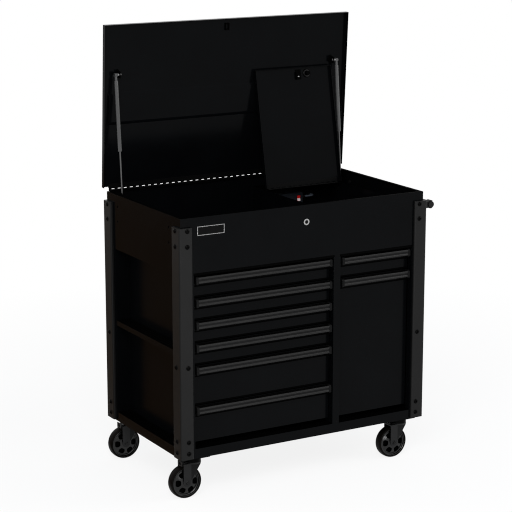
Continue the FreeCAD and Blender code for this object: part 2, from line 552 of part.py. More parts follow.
def make_lid():
    """The lid pan, its stiffener, keeper, hinge leaf and strut brackets, in the lid's frame."""
    half = ("-lid_half", "lid_half")
    deep = ("lid_out - lid_flange", "lid_out")
    pan = cut("lid_pan", block("lid_block", half, deep, ("lid_start", "lid_top")),
              [block("lid_hollow", ("wall - lid_half", "lid_half - wall"), ("lid_out - lid_flange - 1", "lid_in"),
                     ("lid_start - 1", "lid_top - wall"))])
    place(pan, "lid_panel", "lid")

    hat = padded("hat", "YZ_Plane",
                 [("lid_in", "hat_low"), ("lid_in - hat_deep", "hat_low + hat_slope"),
                  ("lid_in - hat_deep", "hat_high - hat_slope"), ("lid_in", "hat_high"),
                  ("lid_in", "hat_high - wall * 2"), ("lid_in - hat_deep + wall", "hat_high - hat_slope - wall"),
                  ("lid_in - hat_deep + wall", "hat_low + hat_slope + wall"),
                  ("lid_in", "hat_low + wall * 2")], "2 * (lid_half - hat_end)", True)
    place(hat, "lid_stiffener", "lid")

    # The keeper's tongue comes down just behind the rim's fold, with a notch for the latch bar.
    tongue_z = ("tongue_at - tongue_thick", "tongue_at")
    keeper = cut("keeper", fused("keeper_solid", [
        block("keeper_foot", ("keeper_x - keeper_wide / 2", "keeper_x + keeper_wide / 2"),
              ("lid_in - wall", "lid_in"), ("keeper_low", "keeper_low + keeper_tall")),
        block("keeper_tongue", ("keeper_x - tongue_wide / 2", "keeper_x + tongue_wide / 2"),
              ("lid_in - tongue_deep", "lid_in"), tongue_z)]),
        [block("keeper_notch", ("keeper_x - tongue_wide", "keeper_x - tongue_wide / 2 + notch_wide"),
               ("lid_in - tongue_deep + notch_low", "lid_in - tongue_deep + notch_low + notch_tall"),
               ("tongue_at - 2 * tongue_thick", "tongue_at + tongue_thick"))])

    along = ("-hinge_long / 2", "hinge_long / 2")
    leaf = fused("leaf_sheets", [
        block("leaf_low", along, ("knuckle_r - leaf", "knuckle_r"), (0, "window + leaf")),
        block("leaf_step", along, ("knuckle_r - leaf", "lid_in"), ("window", "window + leaf")),
        block("leaf_high", along, ("lid_in - leaf", "lid_in"), ("window", "window + leaf_grip")),
        round_x("leaf_roll", along, 0, 0, "knuckle_r")])
    gaps = hinge_cuts("leaf_gap", int(size("knuckles")) - 1, "pitch - knuckle_long",
                      "-hinge_long / 2 + knuckle_long", 0, ("-2 * knuckle_r", "lid_in + 1"),
                      ("-2 * knuckle_r", "window"))
    bore = round_x("leaf_bore", ("-hinge_long", "hinge_long"), 0, 0, "pin_r + pin_gap")
    place(cut("lid_leaf", leaf, gaps + [bore]), "lid_hinge_leaf", "lid")

    fixed = fused("fixed_sheets", [
        block("fixed_leaf", along, ("-hinge_back", "leaf - hinge_back"), ("-leaf_drop - hinge_up", 0)),
        round_x("fixed_roll", along, 0, 0, "knuckle_r")])
    slots = hinge_cuts("fixed_gap", int(size("knuckles")), "knuckle_long + 2 * hinge_gap",
                       "-hinge_long / 2 - hinge_gap", 0, ("-2 * knuckle_r", "2 * knuckle_r"),
                       ("-1.6 * knuckle_r", "2 * knuckle_r"))
    pin = round_x("lid_pin", along, 0, 0, "pin_r")
    fixed_all = fused("fixed_with_pin", [cut("fixed_cut", fixed, slots), pin])
    lid_hinge = bind_place(group("lid_hinge_standing", [fixed_all]), 0, "hinge_y", "hinge_z")

    brackets = []
    for number, (x, way) in enumerate((("strut_x1", 1), ("strut_x2", -1))):
        middle = f"{x} + {way} * plate_in"
        nut_end = f"{middle} + {way} * (ear_thick / 2 + stud_nut)"
        diamond = padded(f"diamond_{number}", "XZ_Plane",
                         [(f"{middle} - plate_half", 0), (middle, "-plate_tall / 2"),
                          (f"{middle} + plate_half", 0), (middle, "plate_tall / 2")], "plate_thick")
        bind_place(diamond, 0, "lid_in", "ball_up")
        ear_x = (f"{middle} - ear_thick / 2", f"{middle} + ear_thick / 2")
        ear = block(f"ear_{number}", ear_x, ("ball_local - stud_r - 3", "lid_in - plate_thick / 2"),
                    ("ball_up - ear_tall / 2", "ball_up + ear_tall / 2"))
        eye_side = f"{x} + {way} * (eye_wide / 2 + 1)"
        stud_x = (f"{x} - {way} * eye_wide / 2", nut_end)
        collar_x = (eye_side, f"{middle} - {way} * ear_thick / 2")
        nut_x = (f"{middle} + {way} * ear_thick / 2", nut_end)
        if way < 0:
            stud_x, collar_x, nut_x = stud_x[::-1], collar_x[::-1], nut_x[::-1]
        brackets.append(fused(f"strut_bracket_{number}", [
            diamond, ear, round_x(f"stud_{number}", stud_x, "ball_local", "ball_up", "stud_r"),
            round_x(f"stud_collar_{number}", collar_x, "ball_local", "ball_up", "nut_r"),
            round_x(f"stud_nut_{number}", nut_x, "ball_local", "ball_up", "nut_r")]))
    place(brackets + [keeper], "lid_fittings", "lid")
    return lid_hinge


def make_struts():
    """Gas struts in their own frame: the upper pivot at the origin, the strut hanging down."""
    for side in ("left", "right"):
        eye_x = ("-eye_wide / 2", "eye_wide / 2")
        tube = cut(f"{side}_tube", fused(f"{side}_tube_solid", [
            round_x(f"{side}_eye", eye_x, 0, 0, "eye_r"),
            round_z(f"{side}_neck", 0, 0, ("-cap_long", 0), "cap_r"),
            round_z(f"{side}_barrel", 0, 0, ("-tube_long", "-cap_long"), "tube_r")]),
            [round_x(f"{side}_eye_bore", ("-eye_wide", "eye_wide"), 0, 0, "stud_r + pin_gap"),
             round_z(f"{side}_chamber", 0, 0, ("gland - tube_long", "-cap_long - 3"), "tube_r - tube_wall"),
             round_z(f"{side}_seal", 0, 0, ("-tube_long - 1", "gland - tube_long + 1"), "rod_r + pin_gap")])
        place(tube, f"strut_tube_{side}", f"{side} strut")
        low_eye = round_x(f"{side}_low_eye", eye_x, 0, "-strut_rest", "eye_r")
        rod = cut(f"{side}_rod", fused(f"{side}_rod_solid", [
            round_z(f"{side}_shaft", 0, 0, ("cap_long - strut_rest", "piston_in - tube_long"), "rod_r"),
            round_z(f"{side}_piston", 0, 0, ("piston_in - tube_long - 8", "piston_in - tube_long"),
                    "tube_r - tube_wall - pin_gap"),
            round_z(f"{side}_ferrule", 0, 0, ("-strut_rest", "cap_long - strut_rest"), "cap_r"),
            low_eye]),
            [round_x(f"{side}_low_bore", ("-eye_wide", "eye_wide"), 0, "-strut_rest", "stud_r + pin_gap")])
        place(rod, f"strut_rod_{side}", f"{side} strut")

    # The lower studs end just beside the rods' eyes. The left one stands on a bracket of its own.
    bracket_x = ("strut_x1 + stud_in - 8", "strut_x1 + stud_in - 8 + ear_thick")
    left = fused("left_pivot", [
        block("pivot_web", bracket_x, ("pivot_back - 16", "depth - wall"), ("pivot_up - 22", "pivot_up + 22")),
        block("pivot_flange", ("strut_x1 + stud_in - 8", "strut_x1 + stud_in + 12"),
              ("depth - wall - ear_thick", "depth - wall"), ("pivot_up - 22", "pivot_up + 22")),
        round_x("pivot_stud_left", ("strut_x1 + eye_wide / 2 + pivot_gap", "strut_x1 + stud_in"),
                "pivot_back", "pivot_up", "stud_r + 1")])
    right = fused("right_pivot", [
        round_x("pivot_nut", ("comp_x2 - nut_thick", "comp_x2"), "pivot_back",
                "pivot_up", "nut_r"),
        round_x("pivot_shank", ("comp_x2", "comp_x2 + wall"), "pivot_back", "pivot_up", "stud_r"),
        round_x("pivot_stud_right", ("comp_x2 + wall", "strut_x2 - eye_wide / 2 - pivot_gap"),
                "pivot_back", "pivot_up", "stud_r + 1")])
    return [left, right]


def make_compartment():
    """The locked compartment in the tray: divider, right wall and two ledges."""
    wall_z = ("floor_high", "comp_top")
    walls = fused("comp_sheets", [
        block("divider", ("comp_x1", "comp_x1 + wall"), ("wall", "depth - wall"), wall_z),
        block("divider_flange", ("comp_x1 - comp_flange", "comp_x1 + wall"),
              ("depth - 2 * wall", "depth - wall"), wall_z),
        block("comp_side", ("comp_x2", "comp_x2 + wall"), ("wall", "depth - wall"), wall_z),
        block("ledge_rear", ("comp_x1", "comp_x2"), ("inner_back + 4", "depth - wall"),
              ("comp_top - wall", "comp_top")),
        block("ledge_front", ("comp_x1", "comp_x2"), ("wall", "front_ledge"),
              ("comp_top - wall", "comp_top"))])
    stud_hole = round_x("stud_hole", ("comp_x2 - 1", "comp_x2 + wall + 1"), "pivot_back", "pivot_up",
                        "stud_r + pin_gap")
    # The closed lid's front flange drops into a notch of the divider.
    notch = block("divider_notch", ("comp_x1 - 1", "comp_x1 + wall + 1"),
                  ("inner_front - 1", "inner_front + wall + 1"),
                  ("inner_z + inner_r + wall - inner_flange - 1", "comp_top + 1"))
    place(cut("compartment", walls, [stud_hole, notch]), "compartment_walls")


def make_inner_lid():
    """The compartment's lid, in its own frame: pan, hinge leaves, catch and lock."""
    span = ("inner_left", "inner_right")
    out = "inner_r + wall"
    pan = cut("inner_pan", block("inner_block", span, (f"{out} - inner_flange", out),
                                 ("inner_start", "inner_top")),
              [block("inner_hollow", ("inner_left + wall", "inner_right - wall"),
                     (f"{out} - inner_flange - 1", "inner_r"), ("inner_start - 1", "inner_top - wall"))])
    place(pan, "inner_lid_panel", "inner")

    along = ("inner_mid - inner_hinge / 2", "inner_mid + inner_hinge / 2")
    leaf = fused("inner_leaf_sheets", [
        block("inner_leaf_flat", along, ("inner_r - leaf", "inner_r"), (0, "inner_window + leaf_grip")),
        round_x("inner_leaf_roll", along, 0, 0, "inner_r")])
    count = int(size("inner_knuckles"))
    gaps = hinge_cuts("inner_gap", count - 1, "pitch - knuckle_long",
                      "inner_mid - inner_hinge / 2 + knuckle_long", 0, ("-2 * inner_r", "2 * inner_r"),
                      ("-2 * inner_r", "inner_window"))
    bore = round_x("inner_bore", ("inner_left", "inner_right"), 0, 0, "inner_pin + pin_gap")
    place(cut("inner_leaf", leaf, gaps + [bore]), "inner_hinge_leaf", "inner")

    fixed = fused("inner_fixed_sheets", [
        block("inner_fixed_flat", along, (0, "leaf_grip + 12"), ("-inner_r", "leaf - inner_r")),
        round_x("inner_fixed_roll", along, 0, 0, "inner_r")])
    slots = hinge_cuts("inner_slot", count, "knuckle_long + 2 * hinge_gap",
                       "inner_mid - inner_hinge / 2 - hinge_gap", 0, ("-2 * inner_r", "1.8 * inner_r"),
                       ("-2 * inner_r", "2 * inner_r"))
    pin = round_x("inner_pin_round", along, 0, 0, "inner_pin")
    fixed_all = fused("inner_fixed_with_pin", [cut("inner_fixed_cut", fixed, slots), pin])
    inner_hinge = bind_place(group("inner_hinge_standing", [fixed_all]), 0, "inner_back", "inner_z")

    catch_x = ("right_side - catch_x", "right_side - catch_x + catch_wide")
    catch = fused("catch", [
        block("catch_foot", catch_x, ("inner_r - wall", "inner_r"),
              ("catch_up - catch_tall / 2", "catch_up + catch_tall / 2")),
        block("catch_web", ("right_side - catch_x", "right_side - catch_x + wall"),
              ("inner_r - catch_deep", "inner_r"), ("catch_up - catch_tall / 2", "catch_up + catch_tall / 4")),
        block("catch_hook", catch_x, ("inner_r - catch_deep", "inner_r - catch_deep + wall"),
              ("catch_up - catch_tall / 2", "catch_up - catch_tall / 4"))])
    ring_at = "right_side - ring_x"
    ring = fused("ring", [
        round_y("ring_disc", ring_at, ("inner_r - ring_thick", "inner_r"), "ring_up", "ring_r"),
        round_y("ring_barrel", ring_at, ("inner_r - barrel_long", "inner_r"), "ring_up", "barrel_r")])
    place([catch, ring], "inner_lid_latch", "inner")
    return inner_hinge


def make_power():
    """Power strip with outlets and a rocker, and its lead to the grommet in the rear wall."""
    strip_z = ("strip_top - strip_tall", "strip_top")
    recess_x = ("rocker_at - rocker_wide / 2", "rocker_at + rocker_wide / 2")
    outlets = [round_y(f"outlet_{number}", f"strip_x + outlet_first + {number} * outlet_pitch",
                       ("strip_y - 1", "strip_y + outlet_deep"), "strip_top - strip_tall / 2", "outlet_r")
               for number in range(2)]
    hollow = cut("strip_hollow", block("strip_block", ("strip_x", "lead_x"), ("strip_y", "depth - wall"), strip_z),
                 outlets + [block("rocker_well", recess_x, ("strip_y - 1", "strip_y + rocker_deep"),
                                  ("rocker_z - rocker_tall / 2", "rocker_z + rocker_tall / 2"))])
    pin = round_x("rocker_pin_round", recess_x, "strip_y + rocker_in", "rocker_z", "rocker_pin")
    strip = fused("strip", [hollow, pin])
    half = "(rocker_wide / 2 - rocker_gap)"
    rise = "(rocker_tall / 2 - 1.5)"
    rocker = padded("rocker", "YZ_Plane",
                    [("-4", f"-{rise}"), ("-1.5", 0), ("-4", rise), ("3", rise), ("rocker_deep - 2", 2),
                     ("rocker_deep - 2", "-2"), ("3", f"-{rise}")], f"2 * {half}", True)
    bind_place(rocker, "rocker_at", "strip_y", "rocker_z")
    bore = round_x("rocker_bore", recess_x, "strip_y + rocker_in", "rocker_z", "rocker_pin + pin_gap")
    place(cut("rocker_bored", rocker, [bore]), "power_switch")

    # The lead leaves the strip's end along +X, turns once and enters the rear wall.
    end_x = size("width") / 2 - size("strip_right")
    bend = size("lead_bend")
    y = size("depth") - size("wall") - size("lead_back")
    height = size("lead_z")
    turn_x = end_x + size("lead_out")
    start = FreeCAD.Vector(end_x, y, height)
    first = FreeCAD.Vector(turn_x, y, height)
    corner = FreeCAD.Vector(turn_x + bend, y + bend, height)
    middle = FreeCAD.Vector(turn_x + bend * 0.70711, y + bend * (1 - 0.70711), height)
    end = FreeCAD.Vector(turn_x + bend, size("depth"), height)
    path = Part.Wire([Part.LineSegment(start, first).toShape(), Part.Arc(first, middle, corner).toShape(),
                      Part.LineSegment(corner, end).toShape()])
    ring = Part.Wire([Part.Circle(start, FreeCAD.Vector(1, 0, 0), size("lead_r")).toShape()])
    lead = doc.addObject("Part::Feature", "lead")
    lead.Shape = path.makePipeShell([ring], True, False)
    grommet_x = "lead_x + lead_out + lead_bend"
    grommet = cut("grommet", fused("grommet_solid", [
        round_y("grommet_neck", grommet_x, ("depth - grommet_long", "depth + 1"), "lead_z", "grommet_r"),
        round_y("grommet_flange", grommet_x, ("depth - grommet_long", "depth - wall"), "lead_z",
                "grommet_rim")]),
        [round_y("grommet_bore", grommet_x, ("depth - grommet_long - 1", "depth + 2"), "lead_z",
                 "lead_r + pin_gap")])
    bush = cut("bush", round_x("bush_round", ("lead_x", "lead_x + bush_long"), "depth - wall - lead_back",
                               "lead_z", "bush_r"),
               [round_x("bush_bore", ("lead_x - 1", "lead_x + bush_long + 1"), "depth - wall - lead_back",
                        "lead_z", "lead_r + pin_gap")])
    place([strip, lead, grommet, bush], "power_strip")


def make_lock():
    """Front lock: fixed housing, turning cylinder with cam, and the latch bar it lifts."""
    housing = cut("housing", fused("housing_solid", [
        round_y("housing_face", 0, ("-lock_face", 0), "lock_z", "lock_r"),
        round_y("housing_barrel", 0, ("-lock_face", "lock_deep"), "lock_z", "lock_plug + 3"),
        round_y("housing_nut", 0, ("wall", "wall + nut_thick"), "lock_z", "lock_nut")]),
        [round_y("housing_bore", 0, ("-lock_face - 1", "lock_deep + 1"), "lock_z", "lock_plug + pin_gap")])
    cylinder = cut("lock_turning", fused("lock_solid", [
        round_y("lock_core", 0, ("0.5 - lock_face", "lock_deep + cam_thick + 1"), "lock_z", "lock_plug"),
        block("lock_cam", ("-cam_long / 4", "cam_long"), ("lock_deep + 1", "lock_deep + 1 + cam_thick"),
              ("lock_z - 6", "lock_z + 6"))]),
        [block("key_way", ("-key_wide / 2", "key_wide / 2"), ("-lock_face", 6),
               ("lock_z - key_tall / 2", "lock_z + key_tall / 2"))])
    place(cylinder, "lock_cylinder")
    # The bar slides sideways between two guides, and its finger enters the keeper's notch.
    bar_x = ("keeper_x - tongue_wide / 2 - bar_left", "keeper_x - tongue_wide / 2 + bar_right")
    finger_x = ("keeper_x - tongue_wide / 2 - finger_wide - 1", "keeper_x - tongue_wide / 2 - 1")
    finger_z = ("notch_z + 1.5", "notch_z + 1.5 + bar_thick")
    bar = fused("bar", [
        block("bar_flat", bar_x, ("bar_y", "bar_y + bar_thick"), ("bar_low", "bar_low + bar_tall")),
        block("bar_riser", finger_x, ("bar_y", "bar_y + bar_thick"), ("bar_low", finger_z[1])),
        block("bar_finger", finger_x, ("rim_fold + tongue_clear", "bar_y + bar_thick"), finger_z)])
    place(bar, "latch_bar")
    middle = "keeper_x - tongue_wide / 2"
    low_z = ("bar_low - guide_tall - pivot_gap", "bar_low - pivot_gap")
    high_z = ("bar_low + bar_tall + pivot_gap", "bar_low + bar_tall + pivot_gap + guide_tall")
    spans = [((f"{middle} - guide_left", f"{middle} + guide_right"), low_z),
             ((f"{middle} - guide_left", f"{middle} - guide_left + guide_short"), high_z),
             ((f"{middle} + guide_right - 2 * guide_short", f"{middle} + guide_right"), high_z)]
    guides = [block(f"guide_{number}", x, ("wall", "bar_y + bar_thick"), z)
              for number, (x, z) in enumerate(spans)]
    place([housing] + guides, "lock_housing")
    place(block("badge", ("left_side + badge_left", "left_side + badge_left + badge_wide"),
                ("-badge_thick", 0), ("badge_low", "badge_low + badge_tall")), "badge_plate")


def drawer_rows():
    """The drawers' names with their opening, top and bottom formulas."""
    rows = []
    top = "first_top"
    for number in range(4):
        low = f"first_top - {number + 1} * shallow + front_gap"
        rows.append((f"left_{number + 1}", "left", f"first_top - {number} * shallow", low))
        top = f"first_top - {number + 1} * shallow"
    rows.append(("left_5", "left", top, f"{top} - deep + front_gap"))
    rows.append(("left_6", "left", f"{top} - deep", "last_low"))
    rows.append(("right_1", "right", "first_top", "first_top - shallow + front_gap"))
    rows.append(("right_2", "right", "first_top - shallow", "last_low"))
    return rows


def make_drawers():
    """Drawers with rails, their fixed slides, the right-hand uprights and the pulls."""
    columns = {"left": ("open1_low", "open1_high", "bay_wall + wall", "open1_high"),
               "right": ("open2_low", "open2_high", "open2_low", "open2_high")}
    slides = []
    for side, (low, high, near, far) in columns.items():
        pull = make_pull(side, f"({high} - pull_right) - ({low} + pull_left)")
        for name, column, top, bottom in drawer_rows():
            if column != side:
                continue
            rail_z = f"{bottom} + slide_up"
            box_x = (f"{near} + slide_wide + slide_gap", f"{far} - slide_wide - slide_gap")
            box_y = ("front_y", "drawer_y")
            box_z = (f"{bottom} + drawer_lift", f"{top} - drawer_drop")
            tray = cut(f"tray_{name}", block(f"tray_out_{name}", box_x, box_y, box_z),
                       [block(f"tray_in_{name}", (f"{box_x[0]} + wall", f"{box_x[1]} - wall"),
                              (f"{box_y[0]} + wall", f"{box_y[1]} - wall"),
                              (f"{box_z[0]} + wall", f"{box_z[1]} + 1"))])
            bar_z = (f"{rail_z} - slide_tall / 2 + wall + slide_gap", f"{rail_z} + slide_tall / 2 - wall - slide_gap")
            rail_y = ("front_y + 8", "slide_y - 8")
            rails = [block(f"rail_a_{name}", (f"{near} + wall + slide_gap", box_x[0]), rail_y, bar_z),
                     block(f"rail_b_{name}", (box_x[1], f"{far} - wall - slide_gap"), rail_y, bar_z)]
            front = block(f"front_{name}", (f"{low} + front_gap", f"{high} - front_gap"),
                          ("front_recess", "front_y"), (bottom, top))
            place(fused(f"drawer_solid_{name}", [front, tray] + rails), f"drawer_{name}")
            place(moved(f"pull_at_{name}", pull, x=f"{low} + pull_left", z=top), f"pull_{name}")
            slide_y = ("slide_start", "slide_y")
            slide_z = (f"{rail_z} - slide_tall / 2", f"{rail_z} + slide_tall / 2")
            in_z = (f"{slide_z[0]} + wall", f"{slide_z[1]} - wall")
            slides.append(cut(f"slide_a_{name}",
                              block(f"slide_a_out_{name}", (near, f"{near} + slide_wide"), slide_y, slide_z),
                              [block(f"slide_a_in_{name}", (f"{near} + wall", f"{near} + slide_wide + 1"),
                                     ("slide_start - 1", "slide_y + 1"), in_z)]))
            slides.append(cut(f"slide_b_{name}",
                              block(f"slide_b_out_{name}", (f"{far} - slide_wide", far), slide_y, slide_z),
                              [block(f"slide_b_in_{name}", (f"{far} - slide_wide - 1", f"{far} - wall"),
                                     ("slide_start - 1", "slide_y + 1"), in_z)]))
    for number, start in enumerate(("upright_first", "upright_last")):
        y = (start, f"{start} + upright_long")
        slides.append(cut(f"upright_{number}",
                          block(f"upright_out_{number}", ("open2_high", "inside_right"), y, ("base_high", "panel_low")),
                          [block(f"upright_in_{number}", ("open2_high + wall", "inside_right + 1"),
                                 (f"{y[0]} + wall", f"{y[1]} - wall"), ("base_high - 1", "panel_low + 1"))]))
    place(slides, "drawer_slides")


def make_pull(side, length):
    """A full-width pull: a hooked bar with two ribs and a cap at each end, its top at z = 0."""
    face = "front_recess - pull_deep"
    bar = padded(f"pull_bar_{side}", "YZ_Plane",
                 [("front_recess", "-2"), ("front_recess", "-2 - pull_wall"),
                  (f"{face} + pull_lip + pull_wall", "-pull_slope"),
                  (f"{face} + pull_wall", "-pull_slope - 4"), (f"{face} + pull_wall", "2 - pull_tall"),
                  (f"{face} + pull_hook", "2 - pull_tall"), (f"{face} + pull_hook", "-pull_tall"),
                  (face, "-pull_tall"), (face, "-pull_tall * 0.62"), (f"{face} + 1.6", "-pull_tall * 0.55"),
                  (f"{face} + 1.6", "-pull_tall * 0.45"), (face, "-pull_tall * 0.38"),
                  (face, "-pull_slope - 3"), (f"{face} + pull_lip", "-pull_slope + 3")], length)
    cap_outline = [("front_recess", 0), ("front_recess", "-pull_tall - 1"), (f"{face} + 2", "-pull_tall - 1"),
                   (f"{face} - 0.5", "2 - pull_tall"), (f"{face} - 0.5", "-pull_slope - 2"),
                   (f"{face} + pull_lip - 1", "-2"), (f"{face} + pull_lip + 6", 0)]
    caps = [padded(f"pull_cap_{side}_{number}", "YZ_Plane", cap_outline, "pull_cap") for number in range(2)]
    bind_place(caps[1], f"{length} - pull_cap", 0, 0)
    return fused(f"pull_{side}_solid", [bar] + caps)


def make_casters():
    """Four swivel casters, each drawn about its own swivel axis with the floor at z = 0."""
    corners = [("left_front", "swivel_x", "caster_ahead"), ("left_rear", "swivel_x", "depth - caster_ahead"),
               ("right_front", "-swivel_x", "caster_ahead"), ("right_rear", "-swivel_x", "depth - caster_ahead")]
    plate = make_caster_plate()
    fork = make_fork()
    wheel = make_wheel()
    pedal = make_pedal()
    plates = [moved(f"plate_{name}", plate, x=x, y=y) for name, x, y in corners]
    place(plates, "caster_plates")
    for name, x, y in corners:
        for piece, node in ((fork, "fork"), (wheel, "wheel"), (pedal, "brake_pedal")):
            if node == "brake_pedal" and "right" in name:
                continue
            place(moved(f"{node}_at_{name}", piece, x=x, y=y), f"{node}_{name}")


def make_caster_plate():
    """Top plate, race and kingpin in one piece."""
    return fused("plate_solid", [
        block("plate_flat", ("-plate_long / 2", "plate_long / 2"), ("-plate_wide / 2", "plate_wide / 2"),
              ("base_low - plate_deep", "base_low")),
        round_z("race", 0, 0, ("fork_top + race_gap", "base_low - plate_deep"), "race_r"),
        round_z("king_pin", 0, 0, ("fork_under - race_gap - king_tall", "base_low - plate_deep"), "king_r"),
        round_z("king_head", 0, 0, ("fork_under - race_gap - king_tall", "fork_under - race_gap"),
                "king_head")])


def make_fork():
    """Pressed fork: crown and two legs trailing to the axle, with the axle bolt."""
    outer = "(fork_gap / 2 + fork_leg)"
    leg = padded("fork_side", "XZ_Plane",
                 [("fork_ahead", "fork_top"), ("-fork_ahead", "fork_top"),
                  ("-trail - fork_foot", "wheel_r"), ("-trail", "wheel_r - fork_foot"),
                  ("fork_foot - trail", "wheel_r"), ("fork_ahead", "fork_under - 5")], f"2 * {outer}", True)
    foot = round_y("fork_foot_round", "-trail", (f"-{outer}", outer), "wheel_r", "fork_foot")
    lugs = [block(f"lug_{number}", ("-pedal_pin_back - 5", "1 - fork_ahead"), y, ("fork_under", "fork_top"))
            for number, y in enumerate((("hinge_gap - pedal_inside", "hinge_gap + lug_thick - pedal_inside"),
                                        ("pedal_inside - lug_thick - hinge_gap", "pedal_inside - hinge_gap")))]
    pin = round_y("pedal_pin_round", "-pedal_pin_back", ("-pedal_wide / 2", "pedal_wide / 2"), "crown_z", "pedal_pin")
    fork = cut("fork", fused("fork_solid", [leg, foot, pin] + lugs), [
        block("fork_inside", ("-2 * wheel_r", "2 * wheel_r"), ("-fork_gap / 2", "fork_gap / 2"), (0, "fork_under")),
        round_z("fork_king_bore", 0, 0, ("fork_under - 1", "fork_top + 1"), "king_r + pin_gap"),
        round_y("fork_axle_hole", "-trail", (f"-{outer} - 1", f"{outer} + 1"), "wheel_r", "axle_r + pin_gap")])
    axle = fused("axle", [
        round_y("axle_shaft", "-trail", (f"-{outer}", outer), "wheel_r", "axle_r"),
        round_y("axle_end_a", "-trail", (f"-{outer} - axle_head_long", f"-{outer}"), "wheel_r", "axle_head"),
        round_y("axle_end_b", "-trail", (outer, f"{outer} + axle_head_long"), "wheel_r", "axle_head")])
    return group("fork_group", [fork, axle])


def make_wheel():
    """Domed core with six round windows, and a crowned tyre round it."""
    tyre_in = "wheel_r - tyre_thick"
    core = revolved("core_turned", [
        ("axle_r + pin_gap", "-hub_wide / 2"), ("hub_r", "-hub_wide / 2"), ("hub_r + 2", "-web_thick / 2 - 4"),
        ("window_at", "-web_thick / 2"), (f"{tyre_in} - 8", "-web_thick / 2"), (f"{tyre_in} - 5", "-rim_wide / 2"),
        (tyre_in, "-rim_wide / 2"), (tyre_in, "rim_wide / 2"), (f"{tyre_in} - 5", "rim_wide / 2"),
        (f"{tyre_in} - 8", "web_thick / 2"), ("window_at", "web_thick / 2"), ("hub_r + 2", "web_thick / 2 + 4"),
        ("hub_r", "hub_wide / 2"), ("axle_r + pin_gap", "hub_wide / 2")])
    windows = []
    for number in range(6):
        hole = round_z(f"wheel_window_{number}", "window_at", 0, ("-hub_wide", "hub_wide"), "window_r")
        windows.append(bind_place(group(f"wheel_window_at_{number}", [hole]), 0, 0, 0,
                                  f"rotation(vector(0; 0; 1); {60 * number})"))
    tyre = revolved("tyre_turned", [
        (tyre_in, "-tyre_wide / 2 + 1"), ("wheel_r - crown", "-tyre_wide / 2"), ("wheel_r - crown / 3", "-tyre_wide / 4"),
        ("wheel_r", "-tyre_wide / 12"), ("wheel_r", "tyre_wide / 12"),
        ("wheel_r - crown / 3", "tyre_wide / 4"), ("wheel_r - crown", "tyre_wide / 2"), (tyre_in, "tyre_wide / 2 - 1")])
    flat = group("wheel_flat", [cut("core", core, windows), tyre])
    return bind_place(flat, "-trail", 0, "wheel_r", "rotation(vector(1; 0; 0); 90)")


def make_pedal():
    """Brake pedal: a windowed plate behind the wheel's top, on two arms hung on the fork's pin."""
    back = "-pedal_back"
    middle = "pedal_low + pedal_tall / 2"
    plate = block("pedal_plate", (back, f"{back} + pedal_thick"), ("-pedal_wide / 2", "pedal_wide / 2"),
                  ("pedal_low", "pedal_low + pedal_tall"))
    arms = [block(f"pedal_arm_{number}", (f"{back} + pedal_thick / 2", "4 - pedal_pin_back"), y,
                  ("crown_z - pedal_arm_tall / 2", "crown_z + pedal_arm_tall / 2"))
            for number, y in enumerate((("-pedal_wide / 2", "-pedal_inside"), ("pedal_inside", "pedal_wide / 2")))]
    return cut("pedal", fused("pedal_solid", [plate] + arms), [
        block("pedal_hole", (f"{back} - 1", f"{back} + pedal_thick + 1"),
              ("-pedal_hole_wide / 2", "pedal_hole_wide / 2"),
              (f"{middle} - pedal_hole_tall / 2", f"{middle} + pedal_hole_tall / 2")),
        round_y("pedal_bore", "-pedal_pin_back", ("-pedal_wide", "pedal_wide"), "crown_z", "pedal_pin + pin_gap")])


def check_and_write():
    """Stops on any failed object or empty shape, then writes one file for each part."""
    doc.recompute()
    for item in doc.Objects:
        if "Invalid" in item.State or "Error" in item.State:
            raise RuntimeError(f"{item.Name} failed: {item.State}")
    for item in parts:
        if item.Shape.isNull() or not item.Shape.isValid() or not item.Shape.Solids:
            raise RuntimeError(f"{item.Label} has no sound shape")
    os.makedirs("parts", exist_ok=True)
    for item in parts:
        item.Shape.exportStep(f"parts/{item.Label}.step")


bolt_holes = make_bolt_holes()
make_box(bolt_holes)
make_bay()
make_posts(bolt_holes)
make_bolts()
make_handle()
lid_hinge = make_lid()
pivots = make_struts()
make_compartment()
inner_hinge = make_inner_lid()
place([lid_hinge, inner_hinge], "fixed_hinges")
place(pivots, "strut_pivots")
make_power()
make_lock()
make_drawers()
make_casters()
check_and_write()
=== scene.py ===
"""Looks of the service cart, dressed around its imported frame.

Metres, +Z up. spot() turns the cart's own millimetres (x from the middle of the box, y from its
front face, z from the floor) into the frame's metres.
"""
import json
import math

import bmesh
import bpy
from mathutils import Euler, Matrix, Vector


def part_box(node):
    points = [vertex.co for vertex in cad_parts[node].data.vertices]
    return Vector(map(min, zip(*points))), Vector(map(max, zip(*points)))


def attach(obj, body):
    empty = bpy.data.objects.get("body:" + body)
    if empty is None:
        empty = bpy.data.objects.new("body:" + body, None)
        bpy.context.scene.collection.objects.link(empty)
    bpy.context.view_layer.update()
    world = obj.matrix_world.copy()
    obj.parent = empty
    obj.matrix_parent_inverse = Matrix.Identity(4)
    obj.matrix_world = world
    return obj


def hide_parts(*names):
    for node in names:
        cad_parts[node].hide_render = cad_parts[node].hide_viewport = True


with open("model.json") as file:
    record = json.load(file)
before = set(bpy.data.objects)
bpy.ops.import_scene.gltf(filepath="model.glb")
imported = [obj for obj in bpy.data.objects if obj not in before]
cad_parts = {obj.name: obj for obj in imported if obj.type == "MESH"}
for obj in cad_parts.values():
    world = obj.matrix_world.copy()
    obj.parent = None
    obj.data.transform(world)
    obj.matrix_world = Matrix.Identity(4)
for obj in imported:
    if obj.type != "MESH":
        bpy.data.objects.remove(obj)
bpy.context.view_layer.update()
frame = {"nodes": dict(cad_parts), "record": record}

SHIFT_X, SHIFT_Y = 38.0, 305.5
HALF_WIDTH, DEPTH = 529.0, 611.0
FLOOR_WHITE = 0.86
SIDE_BROWN = (0.17, 0.095, 0.042)
